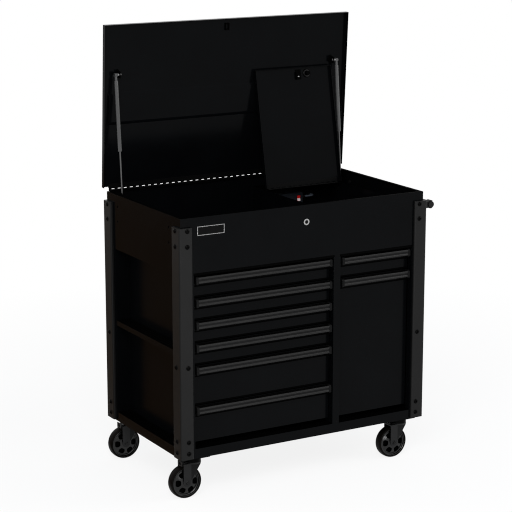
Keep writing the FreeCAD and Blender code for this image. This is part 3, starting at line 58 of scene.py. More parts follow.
LENS, SENSOR = 127.0, 36.0
CAMERA_PLACE, CAMERA_TILT, CAMERA_TURN = (-3.4901, -5.9215, 2.3950), 77.03, -29.95
FILL_COLOUR, FILL_STRENGTH = (0.92, 0.95, 1.0, 1.0), 0.6
CARD_X, CARD_Y, CARD_UP = (-4.2, -0.68), (-0.22, 6.5), 0.002


def spot(x, y, z):
    """A place in the cart's millimetres as metres in the frame."""
    return Vector(((x - SHIFT_X) / 1000, (y - SHIFT_Y) / 1000, z / 1000))


# ---------------------------------------------------------------- stage

def make_camera():
    """The camera as the photo's calibration gave it."""
    camera = bpy.data.objects.new("camera", bpy.data.cameras.new("camera"))
    camera.data.lens = LENS
    camera.data.sensor_width = SENSOR
    camera.location = CAMERA_PLACE
    camera.rotation_euler = Euler((math.radians(CAMERA_TILT), 0.0, math.radians(CAMERA_TURN)))
    bpy.context.scene.collection.objects.link(camera)
    bpy.context.scene.camera = camera


def straight_rays(tree):
    """One for rays from the camera, off a gloss or through glass, nought for the others."""
    rays = tree.nodes.new("ShaderNodeLightPath")
    seen = rays.outputs["Is Camera Ray"]
    for other in ("Is Glossy Ray", "Is Transmission Ray"):
        either = tree.nodes.new("ShaderNodeMath")
        either.operation = "MAXIMUM"
        tree.links.new(seen, either.inputs[0])
        tree.links.new(rays.outputs[other], either.inputs[1])
        seen = either.outputs[0]
    return seen


def make_world():
    """White for straight rays, and a dimmer cool fill for the light that falls on the object."""
    world = bpy.data.worlds.new("studio")
    bpy.context.scene.world = world
    world.use_nodes = True
    tree = world.node_tree
    tree.nodes.clear()
    fill = tree.nodes.new("ShaderNodeBackground")
    fill.inputs["Color"].default_value = FILL_COLOUR
    fill.inputs["Strength"].default_value = FILL_STRENGTH
    white = tree.nodes.new("ShaderNodeBackground")
    white.inputs["Color"].default_value = (1.0, 1.0, 1.0, 1.0)
    white.inputs["Strength"].default_value = 1.0
    mix = tree.nodes.new("ShaderNodeMixShader")
    out = tree.nodes.new("ShaderNodeOutputWorld")
    tree.links.new(straight_rays(tree), mix.inputs[0])
    tree.links.new(fill.outputs[0], mix.inputs[1])
    tree.links.new(white.outputs[0], mix.inputs[2])
    tree.links.new(mix.outputs[0], out.inputs["Surface"])


def make_lamp(name, place, aim, size, power):
    """A white rectangular lamp aimed at a point, in metres and watts."""
    lamp = bpy.data.objects.new(name, bpy.data.lights.new(name, "AREA"))
    lamp.data.shape = "RECTANGLE"
    lamp.data.size, lamp.data.size_y = size
    lamp.data.energy = power
    lamp.location = place
    lamp.rotation_euler = (Vector(aim) - Vector(place)).to_track_quat("-Z", "Y").to_euler()
    bpy.context.scene.collection.objects.link(lamp)


def make_floor(material):
    """A wide floor that belongs to the stage."""
    mesh = bpy.data.meshes.new("floor")
    reach = 12.0
    mesh.from_pydata([(-reach, -reach, 0), (reach, -reach, 0), (reach, reach, 0), (-reach, reach, 0)],
                     [], [(0, 1, 2, 3)])
    floor = bpy.data.objects.new("floor", mesh)
    floor.data.materials.append(material)
    bpy.context.scene.collection.objects.link(floor)


def make_side_card():
    """A dim brown card on the floor at the left. The camera doesn't see it; the glossy left side does."""
    mesh = bpy.data.meshes.new("side card")
    mesh.from_pydata([(CARD_X[0], CARD_Y[0], CARD_UP), (CARD_X[1], CARD_Y[0], CARD_UP),
                      (CARD_X[1], CARD_Y[1], CARD_UP), (CARD_X[0], CARD_Y[1], CARD_UP)],
                     [], [(0, 1, 2, 3)])
    card = bpy.data.objects.new("side_card", mesh)
    brown = bpy.data.materials.new("dim brown card")
    brown.use_nodes = True
    brown.node_tree.nodes.clear()
    glow = brown.node_tree.nodes.new("ShaderNodeEmission")
    glow.inputs["Color"].default_value = (*SIDE_BROWN, 1.0)
    out = brown.node_tree.nodes.new("ShaderNodeOutputMaterial")
    brown.node_tree.links.new(glow.outputs[0], out.inputs["Surface"])
    card.data.materials.append(brown)
    bpy.context.scene.collection.objects.link(card)
    card.visible_camera = False
    card.visible_diffuse = False
    card.visible_shadow = False


# ---------------------------------------------------------------- materials

class Finish:
    """A node material in the making: one Principled shader and what feeds it."""

    def __init__(self, name, **sockets):
        self.material = bpy.data.materials.new(name)
        self.material.use_nodes = True
        self.tree = self.material.node_tree
        self.shader = self.tree.nodes["Principled BSDF"]
        for socket, value in sockets.items():
            self.shader.inputs[socket.replace("_", " ")].default_value = value
        self.place = self.node("ShaderNodeTexCoord").outputs["Object"]

    def node(self, kind, **values):
        """A new node of the kind with its values set."""
        made = self.tree.nodes.new(kind)
        for key, value in values.items():
            setattr(made, key, value)
        return made

    def link(self, out, socket):
        self.tree.links.new(out, socket)

    def noise(self, scale, detail=2.0, stretch=(1.0, 1.0, 1.0)):
        """Noise over the object's own coordinates, which may be stretched."""
        mapping = self.node("ShaderNodeMapping")
        mapping.inputs["Scale"].default_value = stretch
        self.link(self.place, mapping.inputs["Vector"])
        noise = self.node("ShaderNodeTexNoise")
        noise.inputs["Scale"].default_value = scale
        noise.inputs["Detail"].default_value = detail
        noise.inputs["Roughness"].default_value = 0.5
        self.link(mapping.outputs[0], noise.inputs["Vector"])
        return noise.outputs["Fac"]

    def spread(self, value, low, high, low_from=0.3, high_from=0.7):
        """The value carried over from one range to another."""
        ranged = self.node("ShaderNodeMapRange")
        ranged.inputs["From Min"].default_value = low_from
        ranged.inputs["From Max"].default_value = high_from
        ranged.inputs["To Min"].default_value = low
        ranged.inputs["To Max"].default_value = high
        self.link(value, ranged.inputs["Value"])
        return ranged.outputs[0]

    def tint(self, value, dark, light):
        """Colour varied between two tones."""
        ramp = self.node("ShaderNodeValToRGB")
        ramp.color_ramp.elements[0].position = 0.3
        ramp.color_ramp.elements[0].color = (*dark, 1.0)
        ramp.color_ramp.elements[1].position = 0.7
        ramp.color_ramp.elements[1].color = (*light, 1.0)
        self.link(value, ramp.inputs["Fac"])
        self.link(ramp.outputs["Color"], self.shader.inputs["Base Color"])

    def roughness(self, value, low, high):
        """Roughness varied between two values."""
        self.link(self.spread(value, low, high), self.shader.inputs["Roughness"])

    def bump(self, value, strength, distance):
        """A fine relief in the shading."""
        bump = self.node("ShaderNodeBump")
        bump.inputs["Strength"].default_value = strength
        bump.inputs["Distance"].default_value = distance
        self.link(value, bump.inputs["Height"])
        self.link(bump.outputs["Normal"], self.shader.inputs["Normal"])


def painted(name, dark, light, rough, level, index=1.13, grain=1100.0, strength=0.02):
    """Baked paint: an even tone, a faint cloud in its gloss and fine orange peel."""
    finish = Finish(name, Specular_IOR_Level=level, IOR=index)
    finish.tint(finish.noise(6.0, 3.0), dark, light)
    finish.roughness(finish.noise(30.0, 4.0), rough[0], rough[1])
    finish.bump(finish.noise(grain, 2.0), strength, 0.0004)
    return finish.material


def brushed_metal(name, dark, light, rough, stretch, strength=0.08):
    """Metal with fine lines along one way."""
    finish = Finish(name, Metallic=1.0)
    lines = finish.noise(900.0, 3.0, stretch)
    finish.tint(lines, dark, light)
    finish.roughness(lines, rough[0], rough[1])
    finish.bump(lines, strength, 0.0002)
    return finish.material


def moulded(name, dark, light, rough, level=0.3, grain=1400.0, strength=0.04):
    """Moulded plastic or rubber."""
    finish = Finish(name, Specular_IOR_Level=level)
    finish.tint(finish.noise(25.0, 3.0), dark, light)
    finish.roughness(finish.noise(90.0, 3.0), rough[0], rough[1])
    finish.bump(finish.noise(grain, 2.0), strength, 0.0003)
    return finish.material


def floor_material():
    """A pale floor: its own shading shows through a flat white near the object and fades out far from it."""
    finish = Finish("pale floor", Roughness=0.9, Specular_IOR_Level=0.0)
    finish.tint(finish.noise(1.5, 3.0), (0.94, 0.94, 0.94), (0.96, 0.96, 0.96))
    away = finish.node("ShaderNodeVectorMath", operation="LENGTH")
    finish.link(finish.place, away.inputs[0])
    flat = finish.spread(away.outputs["Value"], FLOOR_WHITE, 1.0, 1.2, 3.0)
    share = finish.node("ShaderNodeMath", operation="MULTIPLY")
    finish.link(straight_rays(finish.tree), share.inputs[0])
    finish.link(flat, share.inputs[1])
    white = finish.node("ShaderNodeEmission")
    mix = finish.node("ShaderNodeMixShader")
    finish.link(share.outputs[0], mix.inputs[0])
    finish.link(finish.shader.outputs[0], mix.inputs[1])
    finish.link(white.outputs[0], mix.inputs[2])
    out = [node for node in finish.tree.nodes if node.type == "OUTPUT_MATERIAL"][0]
    finish.link(mix.outputs[0], out.inputs["Surface"])
    return finish.material


def grey(value, blue=0.0):
    """A grey, moved towards blue by the given share."""
    return (value * (1 - blue), value, value * (1 + 1.6 * blue))


# Near-black paint tones; their blue share is painted cool fill light.
DEEP, FAINT = grey(0.0013, 0.12), grey(0.0017, 0.12)

paint = {
    "panel": painted("gloss black paint", DEEP, FAINT, (0.15, 0.19), 0.5),
    "lid": painted("gloss black lid paint", DEEP, FAINT, (0.13, 0.17), 0.45),
    "inside": painted("black paint inside the bay", DEEP, FAINT, (0.2, 0.26), 0.4),
    "side": painted("black paint on the left side", DEEP, FAINT, (0.13, 0.17), 0.4),
    "post": painted("textured black post paint", grey(0.0026), grey(0.0036), (0.42, 0.5),
                    0.5, 1.25, 700.0, 0.2),
    "fork": painted("black caster paint", grey(0.011), grey(0.014), (0.3, 0.4), 0.5, 1.18, 900.0, 0.08),
    # Painted shade: a darker copy of the caster paint, for the fork webs that face away from the light and
    # for the pulls' grooves.
    "web": painted("shaded caster paint", grey(0.0055), grey(0.007), (0.25, 0.35), 0.5, 1.14, 900.0, 0.06),
    # Painted shade: a darker, rougher copy of the black paint for faces that look up.
    "top_shade": painted("darker dull paint as painted shade on flat tops", grey(0.0003), grey(0.0005), (0.5, 0.6), 0.3, 1.04),
    "flat": moulded("flat black", grey(0.0004), grey(0.0006), (0.6, 0.7), 0.01),
    "screw": painted("black oxide screws", grey(0.0005), grey(0.0009), (0.2, 0.28), 0.5, 1.10),
    "zinc": brushed_metal("zinc plate", grey(0.3), grey(0.42), (0.28, 0.38), (1.0, 0.1, 1.0)),
    "pull": brushed_metal("dark anodised aluminium", grey(0.022), grey(0.03), (0.3, 0.38), (0.02, 1.0, 1.0)),
    "cap": moulded("pull end caps", grey(0.003), grey(0.0045), (0.3, 0.4), 0.05),
    "tube": painted("gloss grey strut tube", grey(0.035), grey(0.045), (0.12, 0.18), 0.5, 1.5),
    "rod": brushed_metal("chromed rod", grey(0.09), grey(0.12), (0.08, 0.14), (1.0, 1.0, 0.05)),
    "wheel": brushed_metal("polished wheel core", grey(0.022), grey(0.032), (0.2, 0.26),
                           (1.0, 1.0, 1.0), 0.02),
    "tyre": painted("polyurethane tyre", (0.0022, 0.0017, 0.0013), (0.003, 0.0023, 0.0018),
                    (0.35, 0.45), 0.5, 1.10),
    "plastic": moulded("gloss black plastic", grey(0.003), grey(0.005), (0.2, 0.3), 0.15),
    "red": moulded("red rocker", (0.55, 0.01, 0.01), (0.62, 0.015, 0.015), (0.2, 0.3), 0.3),
    "white": moulded("white rocker half", (0.75, 0.6, 0.6), (0.8, 0.66, 0.66), (0.25, 0.35), 0.3),
    "hinge": painted("black hinge", grey(0.0016), grey(0.0022), (0.3, 0.4), 0.4),
    "bracket": painted("black bracket", grey(0.0012), grey(0.0018), (0.25, 0.35), 0.4),
    "lock": brushed_metal("dark nickel", grey(0.012), grey(0.02), (0.3, 0.4), (1.0, 1.0, 1.0)),
    "badge": painted("black badge", grey(0.002), grey(0.003), (0.12, 0.16), 0.5),
    "bright": brushed_metal("bright trim", grey(0.2), grey(0.28), (0.25, 0.35), (1.0, 1.0, 1.0)),
    # Painted light: the lead's sheath and the strip's housing are made lighter and bluish for the cool light
    # that falls on them from above.
    "cord": moulded("lead sheath with painted cool light", grey(0.07, 0.15), grey(0.09, 0.15), (0.4, 0.5), 0.15),
    "strip": moulded("satin strip housing with painted cool light", grey(0.011, 0.15), grey(0.015, 0.15), (0.3, 0.4), 0.1),
}


# ---------------------------------------------------------------- making pieces

BODY_OF = {node: body for body, nodes in frame["record"]["behaviour"]["bodies"].items() for node in nodes}


def link(name, mesh, material=None):
    """A new object in the scene, with one material where it's named."""
    made = bpy.data.objects.new(name, mesh)
    bpy.context.scene.collection.objects.link(made)
    if material is not None:
        made.data.materials.clear()
        made.data.materials.append(paint[material])
    return made


def mesh_of(form, name):
    """The bmesh as a mesh of its own, and the bmesh freed."""
    mesh = bpy.data.meshes.new(name)
    form.to_mesh(mesh)
    form.free()
    return mesh


def smooth_by_angle(mesh, degrees=35.0):
    """Smooth faces, with the edges sharper than the angle kept."""
    form = bmesh.new()
    form.from_mesh(mesh)
    limit = math.radians(degrees)
    for face in form.faces:
        face.smooth = True
    for edge in form.edges:
        edge.smooth = len(edge.link_faces) == 2 and edge.calc_face_angle(0.0) < limit
    form.to_mesh(mesh)
    form.free()


def baked(item):
    """The item's mesh with its modifiers applied."""
    shape = bpy.context.evaluated_depsgraph_get()
    shape.update()
    mesh = bpy.data.meshes.new_from_object(item.evaluated_get(shape))
    item.modifiers.clear()
    item.data = mesh
    return item


def eased(item, radius, steps=2, angle=30.0):
    """Rounds the item's sharp edges and keeps its broad faces flat in the light."""
    bevel = item.modifiers.new("edges", "BEVEL")
    bevel.width = radius
    bevel.segments = steps
    bevel.limit_method = "ANGLE"
    bevel.angle_limit = math.radians(angle)
    bevel.use_clamp_overlap = True
    baked(item)
    smooth_by_angle(item.data)
    weight = item.modifiers.new("flat faces", "WEIGHTED_NORMAL")
    weight.keep_sharp = True
    weight.weight = 100
    return baked(item)


def stand(item, body, *nodes):
    """The finished piece rides on its body and stands for the nodes."""
    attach(item, body)
    if nodes:
        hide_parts(*nodes)
    return item


def merged(mesh, degrees):
    """The mesh with its loose triangles joined into flat faces."""
    form = bmesh.new()
    form.from_mesh(mesh)
    bmesh.ops.remove_doubles(form, verts=form.verts, dist=1e-6)
    bmesh.ops.dissolve_limit(form, angle_limit=math.radians(degrees), verts=form.verts, edges=form.edges)
    form.to_mesh(mesh)
    form.free()
    return mesh


def merged_copy(node):
    """The CAD node's own form, in flat faces."""
    return merged(frame["nodes"][node].data.copy(), 1.0)


def add_top_shade(item):
    """Faces that look up get a rougher, darker paint; its darker colour is painted shade on the tops."""
    item.data.materials.append(paint["top_shade"])
    for face in item.data.polygons:
        face.material_index = 1 if face.normal.z > 0.5 else 0
    return item


def dressed(node, material, radius):
    """The CAD node's own form with its edges rounded as a press or a mould leaves them."""
    item = eased(link(node + "_dressed", merged_copy(node), material), radius)
    # The panels' tops get painted shade.
    if material in ("panel", "inside", "side"):
        add_top_shade(item)
    return stand(item, BODY_OF[node], node)


def islands(node):
    """The node's solids as (mesh, size in millimetres), in the order of their first vertices."""
    form = bmesh.new()
    form.from_mesh(merged_copy(node))
    left, found = set(form.verts), []
    for seed in form.verts:
        if seed not in left:
            continue
        left.discard(seed)
        reach, group = [seed], []
        while reach:
            vert = reach.pop()
            group.append(vert)
            for edge in vert.link_edges:
                other = edge.other_vert(vert)
                if other in left:
                    left.discard(other)
                    reach.append(other)
        found.append({vert.index for vert in group})
    made = []
    for keep in found:
        copy = form.copy()
        copy.verts.ensure_lookup_table()
        others = [vert for vert in copy.verts if vert.index not in keep]
        bmesh.ops.delete(copy, geom=others, context="VERTS")
        size = [1000 * (max(vert.co[k] for vert in copy.verts) - min(vert.co[k] for vert in copy.verts))
                for k in range(3)]
        made.append((mesh_of(copy, node), size))
    form.free()
    return made


def arc(across, up, radius, first, last, steps):
    """Points on an arc, in degrees."""
    turns = [math.radians(first + (last - first) * step / steps) for step in range(steps + 1)]
    return [(across + radius * math.cos(turn), up + radius * math.sin(turn)) for turn in turns]


def drawn(outline, low, high, way):
    """A form drawn out of a closed outline from low to high along one way, in the cart's millimetres.

    The outline's two numbers are the other two ways in the order X, Y, Z.
    """
    def corner(a, b, t):
        return spot(*{"X": (t, a, b), "Y": (a, t, b), "Z": (a, b, t)}[way])
    form = bmesh.new()
    near = [form.verts.new(corner(a, b, low)) for a, b in outline]
    far = [form.verts.new(corner(a, b, high)) for a, b in outline]
    form.faces.new(near)
    form.faces.new(far[::-1])
    for index in range(len(outline)):
        after = (index + 1) % len(outline)
        form.faces.new((near[index], far[index], far[after], near[after]))
    bmesh.ops.recalc_face_normals(form, faces=form.faces)
    return mesh_of(form, "drawn")


def ring_faces(form, first, second):
    """Faces between two rings; a ring may be one vertex repeated."""
    steps = len(first)
    for k in range(steps):
        ring = []
        for vert in (first[k], first[(k + 1) % steps], second[(k + 1) % steps], second[k]):
            if vert not in ring:
                ring.append(vert)
        if len(ring) > 2:
            form.faces.new(ring)


def turned(profile, centre, way, steps=48, closed=True):
    """A form turned about an axis through the centre. The profile gives (radius, along the axis)."""
    centre = Vector(centre)

    def place(radius, along, turn):
        a, b = radius * math.cos(turn), radius * math.sin(turn)
        offset = {"X": (along, a, b), "Y": (a, along, b), "Z": (a, b, along)}[way]
        return spot(*(centre + Vector(offset)))
    form = bmesh.new()
    rings = []
    for radius, along in profile:
        if radius < 1e-6:
            rings.append([form.verts.new(place(0, along, 0))] * steps)
        else:
            turns = [2 * math.pi * k / steps for k in range(steps)]
            rings.append([form.verts.new(place(radius, along, turn)) for turn in turns])
    pairs = list(zip(rings, rings[1:])) + ([(rings[-1], rings[0])] if closed else [])
    for first, second in pairs:
        ring_faces(form, first, second)
    bmesh.ops.recalc_face_normals(form, faces=form.faces)
    return mesh_of(form, "turned")


def box_mesh(x, y, z):
    """A block between two numbers each way, in the cart's millimetres."""
    return drawn([(x[0], y[0]), (x[1], y[0]), (x[1], y[1]), (x[0], y[1])], z[0], z[1], "Z")


def joined_mesh(meshes, name="joined"):
    """One mesh out of several."""
    form = bmesh.new()
    for mesh in meshes:
        form.from_mesh(mesh)
    return mesh_of(form, name)


def joined(name, meshes, material):
    """One object out of several meshes."""
    return link(name, joined_mesh(meshes, name), material)


def carved(item, cutters):
    """The item without the space of the cutting meshes."""
    tool = joined("cutter", cutters, None)
    hole = item.modifiers.new("carve", "BOOLEAN")
    hole.operation = "DIFFERENCE"
    hole.solver = "EXACT"
    hole.object = tool
    baked(item)
    bpy.data.objects.remove(tool)
    return item


def repeat_tree():
    """A node tree that sets one shape on every point of a mesh, turned by the point's own turn."""
    tree = bpy.data.node_groups.new("repeats", "GeometryNodeTree")
    tree.interface.new_socket("Geometry", in_out="INPUT", socket_type="NodeSocketGeometry")
    tree.interface.new_socket("Shape", in_out="INPUT", socket_type="NodeSocketObject")
    tree.interface.new_socket("Size", in_out="INPUT", socket_type="NodeSocketFloat")
    tree.interface.new_socket("Finish", in_out="INPUT", socket_type="NodeSocketMaterial")
    tree.interface.new_socket("Geometry", in_out="OUTPUT", socket_type="NodeSocketGeometry")
    nodes = {}
    for key, kind in (("in", "NodeGroupInput"), ("out", "NodeGroupOutput"),
                      ("shape", "GeometryNodeObjectInfo"), ("turn", "GeometryNodeInputNamedAttribute"),
                      ("repeat", "GeometryNodeInstanceOnPoints"), ("real", "GeometryNodeRealizeInstances"),
                      ("finish", "GeometryNodeSetMaterial")):
        nodes[key] = tree.nodes.new(kind)
    nodes["turn"].data_type = "FLOAT_VECTOR"
    nodes["turn"].inputs["Name"].default_value = "turn"
    for out, socket in ((("in", "Geometry"), ("repeat", "Points")),
                        (("in", "Shape"), ("shape", "Object")),
                        (("shape", "Geometry"), ("repeat", "Instance")),
                        (("turn", "Attribute"), ("repeat", "Rotation")),
                        (("in", "Size"), ("repeat", "Scale")),
                        (("repeat", "Instances"), ("real", "Geometry")),
                        (("real", "Geometry"), ("finish", "Geometry")),
                        (("in", "Finish"), ("finish", "Material")),
                        (("finish", "Geometry"), ("out", "Geometry"))):
        tree.links.new(nodes[out[0]].outputs[out[1]], nodes[socket[0]].inputs[socket[1]])
    return tree


REPEATS = repeat_tree()


def repeated(name, shape_mesh, spots, turns, material):
    """The shape, drawn about its own origin in metres, set at each spot with its turn in degrees."""
    points = bpy.data.meshes.new(name)
    points.from_pydata([tuple(spot(*place)) for place in spots], [], [])
    turn = points.attributes.new("turn", "FLOAT_VECTOR", "POINT")
    for index, angles in enumerate(turns):
        turn.data[index].vector = [math.radians(angle) for angle in angles]
    shape = link(name + "_shape", shape_mesh, material)
    item = link(name, points)
    spread = item.modifiers.new("repeats", "NODES")
    spread.node_group = REPEATS
    for socket in REPEATS.interface.items_tree:
        if socket.in_out == "INPUT" and socket.name in ("Shape", "Size", "Finish"):
            spread[socket.identifier] = {"Shape": shape, "Size": 1.0, "Finish": paint[material]}[socket.name]
    baked(item)
    bpy.data.objects.remove(shape)
    return item


# ---------------------------------------------------------------- pulls

PULL_BAR = ([(26.0, -2.2), (11.0, -2.6)] + arc(6.4, -7.4, 4.6, 75, 195, 10)
            + [(3.4, -12.0), (3.2, -15.0), (3.4, -18.0)] + arc(6.6, -23.4, 5.4, 150, 262, 12)
            + [(8.0, -30.6), (9.4, -31.2), (10.6, -30.4), (10.6, -28.6), (9.0, -27.4), (7.6, -25.6),
               (7.2, -23.0), (6.4, -18.5), (6.2, -12.0), (7.4, -7.6), (10.6, -5.4), (26.0, -4.8)])
PULL_CAP = ([(26.0, 0.0), (18.0, 0.0)] + arc(9.4, -8.2, 8.4, 85, 175, 8)
            + arc(7.4, -25.6, 7.0, 185, 270, 8) + [(13.0, -32.8), (16.0, -30.0), (26.0, -29.6)])
CAP_WIDE, CAP_OVERLAP = 10.6, 1.5
GROOVE_Y, GROOVE_DOWN = (2.7, 3.7), (18.2, 12.2)
UNDER_Y, UNDER_DOWN = (25.6, 26.4), (43, 37)
# Places of the flat black strips that are painted shade in the gaps above the pulls.
FRAME_GAPS, FRAME_GAP_Y, FRAME_GAP_Z = ((-477, 127), (151, 484)), (-0.35, 0.3), (857.6, 866.5)
GAP_TALL, GAP_OUT = 6.5, 0.4
UNGAPPED = ("drawer_slides", "drawer_left_6", "drawer_right_2")


def make_pull(node, body, left, right, top):
    """A hooked aluminium bar with two ribs, a moulded cap on each end and two dark strips.

    One strip is painted shade in the bar's groove, the other a painted shadow line under the pull.
    """
    def at_top(outline):
        return [(y, z + top) for y, z in outline]
    shape = drawn(at_top(PULL_BAR), left + CAP_WIDE - CAP_OVERLAP, right - CAP_WIDE + CAP_OVERLAP, "X")
    bar = link("bar_" + node, shape, "pull")
    smooth_by_angle(bar.data, 28)
    stand(bar, body, node)
    caps = joined("caps_" + node, [drawn(at_top(PULL_CAP), left, left + CAP_WIDE, "X"),
                                   drawn(at_top(PULL_CAP), right - CAP_WIDE, right, "X")], "cap")
    stand(eased(caps, 0.0014, 3), body, node)
    # Painted shade: a strip of the darker caster paint that darkens the bar's groove.
    groove = box_mesh((left + CAP_WIDE, right - CAP_WIDE), GROOVE_Y,
                      (top - GROOVE_DOWN[0], top - GROOVE_DOWN[1]))
    stand(link("groove_" + node, groove, "web"), body, node)
    # Painted shadow: a flat black strip on the face that stands for the shadow line under the pull.
    under = box_mesh((left + 1, right - 1), UNDER_Y, (top - UNDER_DOWN[0], top - UNDER_DOWN[1]))
    stand(link("under_" + node, under, "flat"), body, node)


def make_gap_shades():
    """Flat black strips as painted shade in the gaps above the pulls: under the front panel and under each
    drawer's face.
    """
    for number, across in enumerate(FRAME_GAPS):
        # Painted shade: a flat black strip for the shade in the gap under the front panel.
        strip = link("gap_frame_%d" % number, box_mesh(across, FRAME_GAP_Y, FRAME_GAP_Z), "flat")
        stand(strip, "cabinet", "front_frame")
    for node in sorted(frame["nodes"]):
        if node.startswith("drawer_") and node not in UNGAPPED:
            x, y, z = cart_box(node)
            # Painted shade: a flat black strip for the shade in the gap under the drawer's face.
            strip = box_mesh((x[0] + 1, x[1] - 1), (y[0] - GAP_OUT, y[0] + GAP_OUT),
                             (z[0] + 0.2, z[0] + GAP_TALL))
            stand(link("gap_" + node, strip, "flat"), BODY_OF[node], node)


def cart_box(node):
    """The node's box in the cart's millimetres, as (x low, x high), (y ...), (z ...)."""
    low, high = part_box(node)
    shift = (SHIFT_X, SHIFT_Y, 0.0)
    return [(low[k] * 1000 + shift[k], high[k] * 1000 + shift[k]) for k in range(3)]


# ---------------------------------------------------------------- casters

AXLE_Z, TRAIL, SWIVEL_X, AHEAD = 63.5, 34.0, 463.0, 46.2
CORNERS = {"left_front": (-SWIVEL_X, AHEAD), "left_rear": (-SWIVEL_X, DEPTH - AHEAD),
           "right_front": (SWIVEL_X, AHEAD), "right_rear": (SWIVEL_X, DEPTH - AHEAD)}
CORE = [(56.6, 12.0), (55.6, 15.4), (54.2, 16.2), (52.4, 15.4), (51.2, 11.0), (48.6, 10.2), (44.0, 12.0),
        (38.0, 14.4), (30.0, 16.6), (22.0, 17.8), (17.0, 18.2), (15.5, 19.2), (15.0, 19.4), (5.2, 19.4)]
POCKET = [(-8.4, 23.6), (8.4, 23.6), (13.6, 35.0), (10.4, 44.0), (-10.4, 44.0), (-13.6, 35.0)]
TREAD = [(56.4, 14.0), (57.6, 16.4), (60.0, 17.0), (61.4, 15.8), (62.4, 13.2), (63.1, 9.0), (63.5, 3.5)]
WHEEL_WEB = [(46.0, -5.0), (46.0, 5.0), (21.0, 5.0), (21.0, -5.0)]
LEG_NEAR, LEG_FAR = 21.6, 25.0
BENT_WEB, WEB_THICK = [(-18.5, 71.0, 24.6), (-12.0, 76.0, 22.0), (24, 128.0, 19.2), (26, 136.0, 19.0),
                       (-18.5, 136.0, 24.6)], 3.2
CROWN = [(30.5, 133.0), (31.8, 134.6), (31.8, 138.4), (30.6, 139.8), (7.0, 139.9), (7.0, 133.0)]
AXLE = [(5.0, -25.2), (5.0, 25.2), (0.0, 25.2), (0.0, -25.2)]
AXLE_HEAD = [(0.0, 25.0), (9.0, 25.0), (9.0, 26.0), (6.6, 26.4), (6.4, 29.6), (5.4, 30.0), (0.0, 30.0)]


def make_wheel(corner):
    """A domed core with six pockets inside a crowned tyre; the flat black web across the pockets is painted
    shade.
    """
    x, y = CORNERS[corner]
    centre = (x - TRAIL, y, AXLE_Z)
    profile = [(r, -a) for r, a in CORE] + [(r, a) for r, a in CORE[::-1]]
    core = link("core_" + corner, turned(profile, centre, "Y", 72), "wheel")
    windows = []
    outline = round_corners(POCKET, 2.4)
    for number in range(6):
        turn = math.radians(60 * number + 30)
        ring = [(centre[0] + a * math.cos(turn) - b * math.sin(turn),
                 centre[2] + a * math.sin(turn) + b * math.cos(turn)) for a, b in outline]
        windows.append(drawn(ring, y - 25, y + 25, "Y"))
    carved(core, windows)
    merged(core.data, 0.5)
    stand(eased(core, 0.0007, 2, 40), "wheel_" + corner, "wheel_" + corner)
    # Painted shade: the core's middle wall in flat black, so the pockets read dark.
    web = link("web_" + corner, turned(WHEEL_WEB, centre, "Y", 48), "flat")
    stand(web, "wheel_" + corner, "wheel_" + corner)
    profile = [(r, -a) for r, a in TREAD] + [(r, a) for r, a in TREAD[::-1]]
    tyre = link("tyre_" + corner, turned(profile, centre, "Y", 96), "tyre")
    smooth_by_angle(tyre.data, 50)
    stand(tyre, "wheel_" + corner, "wheel_" + corner)


def make_fork(corner):
    """A pressed fork: a flat leg at each side, a web bent in behind it, a crown, and the axle bolt."""
    x, y = CORNERS[corner]
    body = "fork_" + corner
    foot = arc(x - TRAIL, AXLE_Z, 16.0, 180, 345, 14)
    flat = foot + [(x - 18, 74.0), (x - 18, 135.5), (x - 50, 135.5)]
    parts, webs = [], []
    for side in (-1, 1):
        near, far = sorted((y + side * LEG_NEAR, y + side * LEG_FAR))
        parts.append(drawn(flat, near, far, "Y"))
        form = bmesh.new()
        verts = []
        for across, up, out in BENT_WEB:
            verts.append((form.verts.new(spot(x + across, y + side * out, up)),
                          form.verts.new(spot(x + across, y + side * (out - WEB_THICK), up))))
        form.faces.new([pair[0] for pair in verts])
        form.faces.new([pair[1] for pair in verts[::-1]])
        for index in range(len(verts)):
            after = (index + 1) % len(verts)
            form.faces.new((verts[index][0], verts[index][1], verts[after][1], verts[after][0]))
        bmesh.ops.recalc_face_normals(form, faces=form.faces)
        webs.append(mesh_of(form, "web"))
    parts.append(box_mesh((x - 50, x + 10), (y - 24.8, y + 24.8), (132.5, 137.0)))
    item = eased(joined("legs_" + corner, parts, "fork"), 0.0011, 2, 25)
    stand(item, body, body)
    # The webs take the darker paint: painted shade.
    stand(eased(joined("webs_" + corner, webs, "web"), 0.0008, 2, 25), body, body)
    crown = turned(CROWN, (x, y, 0), "Z", 48)
    stand(eased(link("crown_" + corner, crown, "fork"), 0.0005, 2, 40), body, body)
    bolts, middle = [], (x - TRAIL, y, AXLE_Z)
    for side in (-1, 1):
        bolts.append(turned([(r, side * a) for r, a in AXLE_HEAD], middle, "Y", 6, False))
    bolts.append(turned(AXLE, middle, "Y", 24, False))
    stand(eased(joined("axle_" + corner, bolts, "lock"), 0.0005, 2, 40), body, body)


def round_corners(outline, radius, steps=4):
    """The closed outline with each corner replaced by a short arc."""
    made = []
    count = len(outline)
    for index in range(count):
        here = Vector(outline[index])
        before = (Vector(outline[index - 1]) - here).normalized()
        after = (Vector(outline[(index + 1) % count]) - here).normalized()
        half = before.angle(after) / 2
        reach = radius / math.tan(half)
        start, end = here + before * reach, here + after * reach
        middle = here + (before + after).normalized() * (radius / math.sin(half))
        first = start - middle
        for step in range(steps + 1):
            if step in (0, steps):
                turned_by = end - middle if step else first
            else:
                turned_by = first.slerp(end - middle, step / steps)
            made.append(tuple(middle + turned_by))
    return made


# ---------------------------------------------------------------- fasteners

